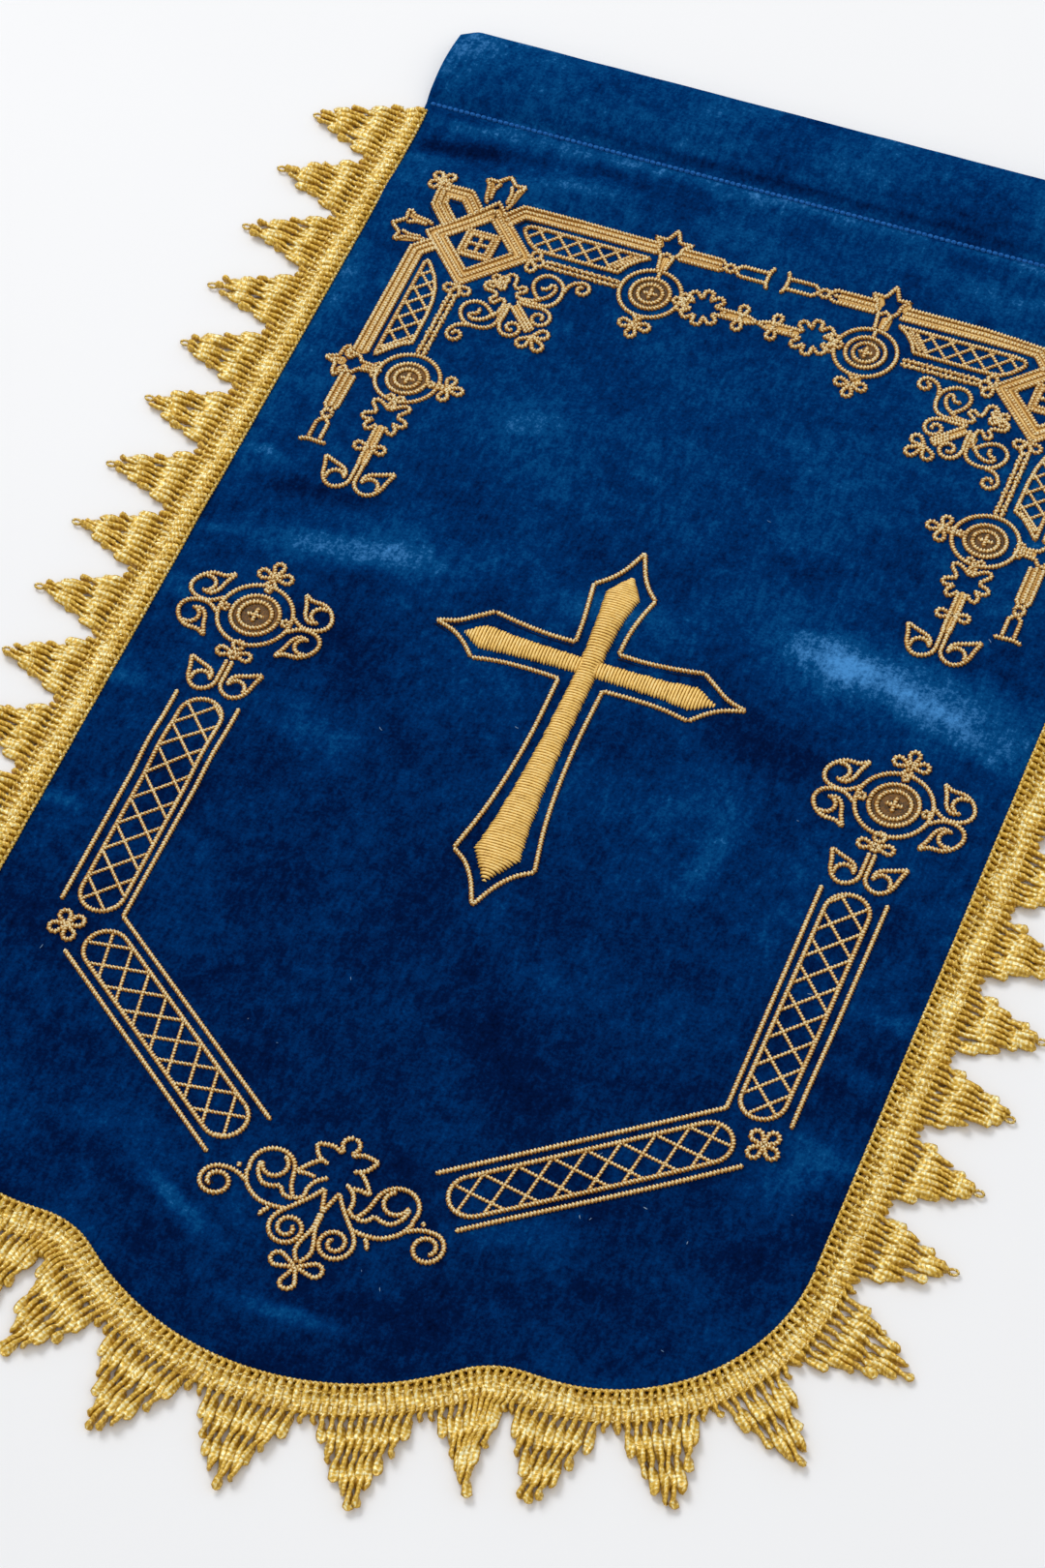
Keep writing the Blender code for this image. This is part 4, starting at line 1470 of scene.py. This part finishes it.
class BANNER_OT_embroidery(Operator):
    """Embroider the corner, side, foot and cross lines in twisted gold thread."""

    bl_idname = "banner.embroidery"
    bl_label = "Embroidery"

    STEP = 0.0005
    LIFT = 0.00030
    FINE_LIFT = 0.00020
    LAID_LIFT = 0.00020
    DEEP_LIFT = 0.00008
    LAYER_LIFT = 0.00012
    FINE_WIDTH_SHARE = 0.74
    LAID_HEIGHT = 0.0009
    LAID_STEP = 0.0010
    LOOP_FILL_WIDTH = 0.0036
    LOOP_FILL_STEP = 0.0016
    SHADOW_STRIP_MARGIN = 0.0021
    SHADOW_STRIP_STEP = 0.0014
    TOP_AXIS = -0.9

    def threads(self, context, groups):
        """Twisted threads, one piece for each group of lines."""
        sizes = context.scene.banner_embroidery
        # Rayon thread: painted highlight where it turns over, painted brown shade where it dips into the pile
        colors = (sizes.thread_shade, sizes.thread, sizes.thread_glint)
        material = thread_material(
            "rayon_thread", colors, 0.40, 1000.0, 0.7, sizes.stitch_pitch, 0.40, sides=0.95
        )
        tree = thread_tree()
        for number, (name, (lines, fine)) in enumerate(groups.items()):
            share = self.FINE_WIDTH_SHARE if fine else 1.0
            lift = self.FINE_LIFT if fine else self.LIFT
            piece = run_tree(name, draped(lines, lift, self.LAYER_LIFT), tree, {
                "Width": sizes.line_width * share,
                "Height": sizes.line_height * share,
                "Twist": 1 / sizes.stitch_pitch,
                "Step": self.STEP,
                "Rounding": 0.0009,
                "Unevenness": 0.22,
                "Wander": 0.9,
                "Sides": 6,
                "Seed": float(number),
                "Material": material,
            })
            belongs(piece, "gold_thread")

    def flat_stitching(self, context, loops):
        """Flat stitching that fills bands, rosettes and the smallest loops."""
        sizes = context.scene.banner_embroidery
        # The same thread laid flat and close: deeper gold, with fine lines of painted shade along it
        colors = (sizes.thread_shade, sizes.underlay, sizes.thread)
        gold = thread_material("laid_thread", colors, 0.55, 1300.0, 0.9, plies=5)
        # Where it lies deep between threads it is mostly shadow
        colors = (sizes.pressed_shade, sizes.underlay_shade, sizes.thread_shade)
        deep = thread_material("deep_laid_thread", colors, 0.7, 1300.0, 0.9)
        rows = []
        for kind, fills, material in (("gold", filled_bands(), gold), ("deep", deep_fills(), deep)):
            rows += [(f"laid_{kind}_{round(width)}", width, fills[width], material) for width in fills]
        tree = thread_tree()
        for name, width, lines, material in rows:
            lift = self.LAID_LIFT if material == gold else self.DEEP_LIFT
            laid = run_tree(name, draped(lines + reflect_x(lines), lift), tree, {
                "Width": width * MM,
                "Height": self.LAID_HEIGHT,
                "Twist": 0.0,
                "Step": self.LAID_STEP,
                "Rounding": 0.0003,
                "Unevenness": 0.04,
                "Wander": 0.0,
                "Sides": 8,
                "Seed": 0.0,
                "Material": material,
            })
            belongs(laid, "gold_thread")
        piece = run_tree("laid_deep_loops", draped(loops, self.DEEP_LIFT), tree, {
            "Width": self.LOOP_FILL_WIDTH,
            "Height": self.LAID_HEIGHT,
            "Twist": 0.0,
            "Step": self.LOOP_FILL_STEP,
            "Rounding": 0.0010,
            "Unevenness": 0.1,
            "Wander": 0.0,
            "Sides": 6,
            "Seed": 1.0,
            "Material": deep,
        })
        belongs(piece, "gold_thread")

    def execute(self, context):
        corner, top, side = corner_ornament(), top_centre(), side_rosette()
        bars, bar_fill = side_bars()
        bars += standing_rosette()
        foot = palmette()
        upper_fine = fine_corner()
        top += reflect_x(top, self.TOP_AXIS)
        groups = {
            "embroidery_corner_left": (corner, False),
            "embroidery_corner_right": (reflect_x(corner), False),
            "embroidery_rosettes": (top + side + reflect_x(side), False),
            "embroidery_bars": (bars + reflect_x(bars), False),
            "embroidery_foot_and_cross": (foot + cross_outline(), False),
            "embroidery_upper_lattice": (upper_fine + reflect_x(upper_fine), True),
            "embroidery_bar_lattice": (bar_fill + reflect_x(bar_fill), True),
        }
        self.threads(context, groups)
        lines = [line for group, _ in groups.values() for line in group]
        self.flat_stitching(context, small_loops(lines))
        # Painted thread shadow: dark strips beside every line and along the narrow gaps between bars and
        # flank lines
        gaps = narrow_gaps()
        sizes = context.scene.banner_embroidery
        pressed_shade = run_tree("shadowed_pressed_pile", draped(lines + gaps + reflect_x(gaps), 0.0), shadow_strip_tree(), {
            "Width": sizes.line_width + self.SHADOW_STRIP_MARGIN,
            "Step": self.SHADOW_STRIP_STEP,
            "Material": thread_shadow_material(),
        })
        belongs(pressed_shade, "velvet")
        return {"FINISHED"}


class BANNER_OT_cross(Operator):
    """Fill the cross with satin stitch: threads laid side by side over a raised middle."""

    bl_idname = "banner.cross"
    bl_label = "Satin cross"

    ARM_Y = 69.0
    ARCH_POINTS = 9

    def threads(self, stops, height, upright, seed):
        """Arched threads across one bar."""
        pitch = settings("banner_embroidery").satin_pitch / MM
        chance = random.Random(seed)
        start, end = stops[0][0], stops[-1][0]
        lines = []
        for index in range(int((end - start) / pitch)):
            place = start + pitch * (index + 0.5)
            half = arm_width(stops, place) + chance.uniform(-0.25, 0.25)
            slant = chance.uniform(-0.12, 0.12)
            line = []
            for step in range(self.ARCH_POINTS):
                share = 2 * step / (self.ARCH_POINTS - 1) - 1
                aside, along = half * share, place + slant * share
                x, y = (aside, along) if upright else (along, self.ARM_Y + aside)
                x, y = x * MM, (y + DESIGN_Y) * MM
                arch = height * math.sqrt(max(0.0, 1 - share ** 2)) * min(1.0, half / 4)
                line.append((x, y, float(cloth_top(x, y)) + 0.0001 + arch * MM))
            lines.append((line, False))
        return lines

    def execute(self, context):
        sizes = context.scene.banner_embroidery
        # Rayon filled in satin stitch: long floats, so it is smoother and glossier than the lines
        colors = (sizes.satin_shade, sizes.satin, sizes.satin_glint)
        material = thread_material("satin_stitch", colors, 0.34, 700.0, 0.8, sides=0.45)
        lines = self.threads(CROSSBAR, 1.5, False, 4) + self.threads(UPRIGHT, 2.3, True, 5)
        piece = run_tree("cross_satin_fill", lines, thread_tree(), {
            "Width": 0.0014,
            "Height": 0.0013,
            "Twist": 0.0,
            "Step": 0.0011,
            "Rounding": 0.0006,
            "Unevenness": 0.16,
            "Wander": 0.0,
            "Sides": 7,
            "Seed": 2.0,
            "Material": material,
        })
        belongs(piece, "gold_thread")
        return {"FINISHED"}


class BANNER_OT_fringe(Operator):
    """Make the bullion fringe: twisted strands cut to points under three rows of chain stitch."""

    bl_idname = "banner.fringe"
    bl_label = "Bullion fringe"

    OVERLAP = 0.0010
    REST_HEIGHT = 0.0017
    CHAIN_DEPTHS = (0.0034, 0.0078, 0.0124)
    EDGE_DEPTH = -0.0006
    HEADING_FULLNESS = 1.02
    TRIM = 0.0012
    EXTRA_CONVERGENCE = math.radians(5)
    CLUMP_LEAN = math.radians(2.0)
    CLUMPS_PER_METRE = 75
    LOOP_RADIUS = 0.0017

    def height(self, x, y, depth, toss):
        """Height of a strand's middle over the surface at a depth outside the cloth."""
        on_cloth = float(cloth_top(x, y)) + 0.0007
        fall = float(ease(max(depth, 0.0) / 0.009))
        return self.REST_HEIGHT + (on_cloth - self.REST_HEIGHT) * fall + toss * (1 - fall)

    def strand(self, middle, place, axis, reach, chance):
        """Centre line of one strand from its loop on the cloth to its tip, and its fullness."""
        length = (reach - self.TRIM - HEADING_DEPTH) * (1 - abs(place) ** POINT_CURVE)
        length *= 1 - 0.10 * chance.random()
        lean = noise.noise(Vector((middle * self.CLUMPS_PER_METRE, 0.5, axis)))
        angle = axis - (POINT_CONVERGENCE + self.EXTRA_CONVERGENCE) * place
        angle += 2 * self.CLUMP_LEAN * lean + math.radians(chance.uniform(-1.6, 1.6))
        toss = chance.uniform(0.0, 0.0014)
        sway, phase = chance.uniform(0.2, 0.7) * MM, chance.uniform(0, math.tau)
        line = []
        for depth in (-self.OVERLAP, 0.0, 0.003, 0.006, 0.009, HEADING_DEPTH):
            x, y = along_edge(middle, depth)
            line.append((x, y, self.height(x, y, depth, toss * 0.4)))
        fullness = [self.HEADING_FULLNESS] * len(line)
        root_x, root_y = line[-1][:2]
        steps = max(2, round(length / 0.004))
        for step in range(1, steps + 1):
            run = length * step / steps
            bend = sway * math.sin(phase + run / 0.006) * min(run / 0.010, 1.0)
            x = root_x + run * math.sin(angle) + bend * math.cos(angle)
            y = root_y - run * math.cos(angle) + bend * math.sin(angle)
            z = self.REST_HEIGHT + toss * (0.4 + 0.6 * min(run / 0.008, 1.0))
            line.append((x, y, z))
            fullness.append(1.0)
        return line, fullness

    def tip_loop(self, line):
        """Small open loop at the end of a point's middle strand."""
        (x, y, z), before = line[-1], line[-2]
        angle = math.atan2(y - before[1], x - before[0])
        radius = self.LOOP_RADIUS
        x, y = x + 0.9 * radius * math.cos(angle), y + 0.9 * radius * math.sin(angle)
        loop = []
        for step in range(10):
            turn = math.tau * step / 10
            along, aside = 1.25 * radius * math.cos(turn), 0.8 * radius * math.sin(turn)
            loop.append((
                x + along * math.cos(angle) - aside * math.sin(angle),
                y + along * math.sin(angle) + aside * math.cos(angle),
                min(z, self.REST_HEIGHT),
            ))
        return loop, True

    def edge_rows(self, start, end):
        """Rows of stitching along the heading, and the row of loops on the cloth's edge."""
        chains, chance = [], random.Random(9)
        for depth in self.CHAIN_DEPTHS:
            steps = round((end - start) / 0.0018)
            row = []
            for step in range(steps + 1):
                aside = chance.uniform(0.0003, 0.0009) * (1 if step % 2 else -1)
                x, y = along_edge(start + (end - start) * step / steps, depth + aside)
                row.append((x, y, self.height(x, y, depth, 0.0) + 0.0006))
            chains.append((row, False))
        steps = round((end - start) / 0.003)
        loops, tape = [], []
        for step in range(steps + 1):
            run = start + (end - start) * step / steps
            x, y = along_edge(run, self.EDGE_DEPTH)
            loops.append((x, y, float(cloth_top(x, y)) + 0.0004))
            tape.append((*along_edge(run, HEADING_DEPTH / 2), 0.0019))
        return chains, [(loops, False)], [(tape, False)]

    def length_of_fringe(self, start, end, shares, reach, mirrored):
        """Lines of one length of fringe by kind, and the fullness of its strands."""
        sizes = settings("banner_fringe")
        chance = random.Random(sizes.seed + round(1000 * start) + mirrored)
        strands, tips, fullness, first = [], [], [], start
        for share in shares:
            pitch = (end - start) * share / sum(shares)
            count = max(7, round(pitch / sizes.strand_pitch))
            axis = hang_angle(first + pitch / 2)
            for index in range(count):
                place = (2 * index + 1 - count) / count
                middle = first + pitch * (index + 0.5) / count
                has_loop = index == count // 2 and reach < FRINGE_REACH
                cut = reach - 2.2 * self.LOOP_RADIUS * has_loop
                line, shares_of_full = self.strand(middle, place, axis, cut, chance)
                strands.append((line, False))
                fullness += shares_of_full
                if has_loop:
                    tips.append(self.tip_loop(line))
            first += pitch
        chains, loops, tape = self.edge_rows(start, end)
        groups = (strands, chains, loops, tape, tips)
        if mirrored:
            groups = [
                [([(-x, y, z) for x, y, z in line], closed) for line, closed in group]
                for group in groups
            ]
        return groups, fullness

    def execute(self, context):
        sizes = context.scene.banner_fringe
        tree = thread_tree()
        # Gilt bullion: fine wire wound on a core; its glitter in points along each strand is painted
        # highlight, with painted shade between plies and down its sides
        colors = (sizes.gold_shade, sizes.gold, sizes.gold_glint)
        material = thread_material(
            "gilt_bullion", colors, 0.34, 620.0, 1.7, pitch=0.0021, painted_bead_highlights=0.16, plies=2, sides=0.4,
            wobble=14.0, metallic=0.2,
        )
        side = (CORNER_END, SIDE_END, SIDE_POINT_SHARES, SIDE_FRINGE_REACH)
        lengths = {
            "right": (*side, False),
            "left": (*side, True),
            "bottom": (-CORNER_END, CORNER_END, BOTTOM_POINT_SHARES, FRINGE_REACH, False),
        }
        # Name, width, height, half turns per metre, step, rounding, unevenness, wander, waist, sides
        rows = [
            ("bullion_fringe", sizes.strand_width, sizes.strand_height, 1 / sizes.turn_pitch, 0.0012,
             0.0016, 0.30, 3.0, 0.5, 8),
            ("fringe_chain_stitch", 0.0017, 0.0012, 1 / 0.0030, 0.0012, 0.001, 0.6, 0.0, 0.0, 5),
            ("fringe_edge_loops", 0.0022, 0.0013, 1 / 0.0021, 0.0007, 0.001, 0.3, 0.0, 0.0, 6),
            ("fringe_heading", HEADING_DEPTH, 0.0009, 0.0, 0.003, 0.0005, 0.0, 0.0, 0.0, 8),
            ("fringe_tip_loops", 0.0013, 0.0012, 1 / 0.0022, 0.0006, 0.001, 0.3, 0.0, 0.0, 6),
        ]
        for number, (place, values) in enumerate(lengths.items()):
            groups, fullness = self.length_of_fringe(*values)
            for row, lines in zip(rows, groups):
                if not lines:
                    continue
                name, width, height, twist, step, rounding, unevenness, wander, waist, sides = row
                strands = name == "bullion_fringe"
                piece = run_tree(f"{name}_{place}", lines, tree, {
                    "Width": width,
                    "Height": height,
                    "Twist": twist,
                    "Step": step,
                    "Rounding": rounding,
                    "Unevenness": unevenness,
                    "Wander": wander,
                    "Waist": waist,
                    "Sides": sides,
                    "Seed": float(number),
                    "Material": material,
                }, fullness if strands else None)
                belongs(piece, "gold_bullion", *([f"fringe_{place}"] if strands else []))
        return {"FINISHED"}


class BANNER_OT_lint(Operator):
    """Scatter the few pale fibres of lint that lie on the pile."""

    bl_idname = "banner.lint"
    bl_label = "Lint"

    COUNT = 26
    LIFT = 0.0003

    def execute(self, context):
        chance = random.Random(5)
        lines = []
        while len(lines) < self.COUNT:
            x, y = chance.uniform(-0.18, 0.18), chance.uniform(-0.28, 0.30)
            if y < lower_edge(x) + 0.02:
                continue
            length, angle = chance.uniform(0.0006, 0.0024), chance.uniform(0, math.tau)
            bend = chance.uniform(-0.8, 0.8)
            line = [(x, y)]
            for _ in range(4):
                x, y = x + length / 4 * math.cos(angle), y + length / 4 * math.sin(angle)
                angle += bend / 4
                line.append((x, y))
            lines.append(([(x, y, float(cloth_top(x, y)) + self.LIFT) for x, y in line], False))
        material, tree, shader = start_material("cotton_lint")
        # Loose cotton fibre that has caught a little of the cloth's dye
        place = add_node(tree, "ShaderNodeTexCoord").outputs["Object"]
        dye = add_node(tree, "ShaderNodeTexNoise", {"Vector": place, "Scale": 40.0})
        stops = [(0.35, to_linear("#3F6C9C")), (0.65, to_linear("#8FAAC4"))]
        tree.links.new(ramp(tree, dye.outputs[0], stops), shader.inputs["Base Color"])
        shader.inputs["Roughness"].default_value = 0.9
        piece = run_tree("lint", lines, thread_tree(), {
            "Width": 0.00040,
            "Height": 0.00030,
            "Twist": 0.0,
            "Step": 0.0004,
            "Rounding": 0.0003,
            "Unevenness": 0.4,
            "Wander": 0.0,
            "Sides": 5,
            "Seed": 3.0,
            "Material": material,
        })
        belongs(piece, "velvet")
        return {"FINISHED"}


class BANNER_OT_stage(Operator):
    """Set the pale floor, the soft lights and the camera."""

    bl_idname = "banner.stage"
    bl_label = "Stage"

    CAMERA_PLACE = (0.5134, -1.13355, 1.6637)
    CAMERA_TARGET = (-0.0035, -0.02475, 0.0038)
    CAMERA_ROLL = math.radians(-3.724)

    def light(self, name, place, size, power):
        """Soft rectangular light that faces the banner."""
        data = bpy.data.lights.new(name, "AREA")
        data.size = size
        data.energy = power
        lamp = new_object(name, data)
        lamp.location = place
        lamp.rotation_mode = "QUATERNION"
        lamp.rotation_quaternion = (-Vector(place)).to_track_quat("-Z", "Y")

    def execute(self, context):
        stage = context.scene.banner_stage
        mesh = bpy.data.meshes.new("studio_floor")
        half = 9.0
        corners = [(-half, -half, 0), (half, -half, 0), (half, half, 0), (-half, half, 0)]
        mesh.from_pydata(corners, [], [(0, 1, 2, 3)])
        floor = new_object("studio_floor", mesh)
        material, tree, shader = start_material("matt_painted_board")
        # Matt white board with only the faintest unevenness in its tone
        place = add_node(tree, "ShaderNodeTexCoord").outputs["Object"]
        tone = add_node(tree, "ShaderNodeTexNoise", {"Vector": place, "Scale": 3.0, "Detail": 2.0})
        lighter = tuple(min(1.0, value * 1.02) for value in stage.floor)
        color = ramp(tree, tone.outputs[0], [(0.3, tuple(stage.floor)), (0.7, lighter)])
        tree.links.new(color, shader.inputs["Base Color"])
        shader.inputs["Roughness"].default_value = 0.8
        floor.data.materials.append(material)
        world = bpy.data.worlds.new("studio_room")
        world.use_nodes = True
        context.scene.world = world
        background = world.node_tree.nodes["Background"]
        background.inputs["Color"].default_value = (1.0, 1.0, 1.0, 1.0)
        background.inputs["Strength"].default_value = stage.sky
        self.light("key_light", (-2.5, 2.2, 3.6), 2.2, stage.key_power)
        self.light("fill_light", (2.2, -1.8, 3.2), 2.4, stage.fill_power)
        data = bpy.data.cameras.new("photo_camera")
        data.lens = stage.lens
        data.sensor_width = 36.0
        data.clip_end = 50.0
        camera = new_object("photo_camera", data)
        camera.location = self.CAMERA_PLACE
        camera.rotation_mode = "QUATERNION"
        view = (Vector(self.CAMERA_TARGET) - Vector(self.CAMERA_PLACE)).to_track_quat("-Z", "Y")
        camera.rotation_quaternion = view @ Quaternion((0, 0, 1), self.CAMERA_ROLL)
        context.scene.camera = camera
        context.scene.view_settings.view_transform = "Standard"
        return {"FINISHED"}


class BANNER_PT_sidebar(Panel):
    """Sidebar panel that lists the banner's settings and pieces."""

    bl_idname = "BANNER_PT_sidebar"
    bl_label = "Church Banner"
    bl_space_type = "VIEW_3D"
    bl_region_type = "UI"
    bl_category = "Banner"

    def draw(self, context):
        for name, group in SETTINGS.items():
            box = self.layout.box()
            box.label(text=group.__doc__)
            for key in group.__annotations__:
                box.prop(getattr(context.scene, name), key)
        for operator in OPERATORS:
            self.layout.operator(operator.bl_idname)


SETTINGS = {
    "banner_cloth": BannerClothSettings,
    "banner_embroidery": BannerEmbroiderySettings,
    "banner_fringe": BannerFringeSettings,
    "banner_stage": BannerStageSettings,
}
OPERATORS = (
    BANNER_OT_velvet,
    BANNER_OT_seam,
    BANNER_OT_embroidery,
    BANNER_OT_cross,
    BANNER_OT_fringe,
    BANNER_OT_lint,
    BANNER_OT_stage,
)


def register():
    """Register the classes and hang the settings on the scene."""
    for item in (*SETTINGS.values(), *OPERATORS, BANNER_PT_sidebar):
        bpy.utils.register_class(item)
    for name, group in SETTINGS.items():
        setattr(bpy.types.Scene, name, PointerProperty(type=group))


def unregister():
    """Take the settings and classes away again."""
    for name in SETTINGS:
        delattr(bpy.types.Scene, name)
    for item in reversed((*SETTINGS.values(), *OPERATORS, BANNER_PT_sidebar)):
        bpy.utils.unregister_class(item)


def main():
    register()
    for operator in OPERATORS:
        group, name = operator.bl_idname.split(".")
        getattr(getattr(bpy.ops, group), name)()


if __name__ == "__main__":
    main()
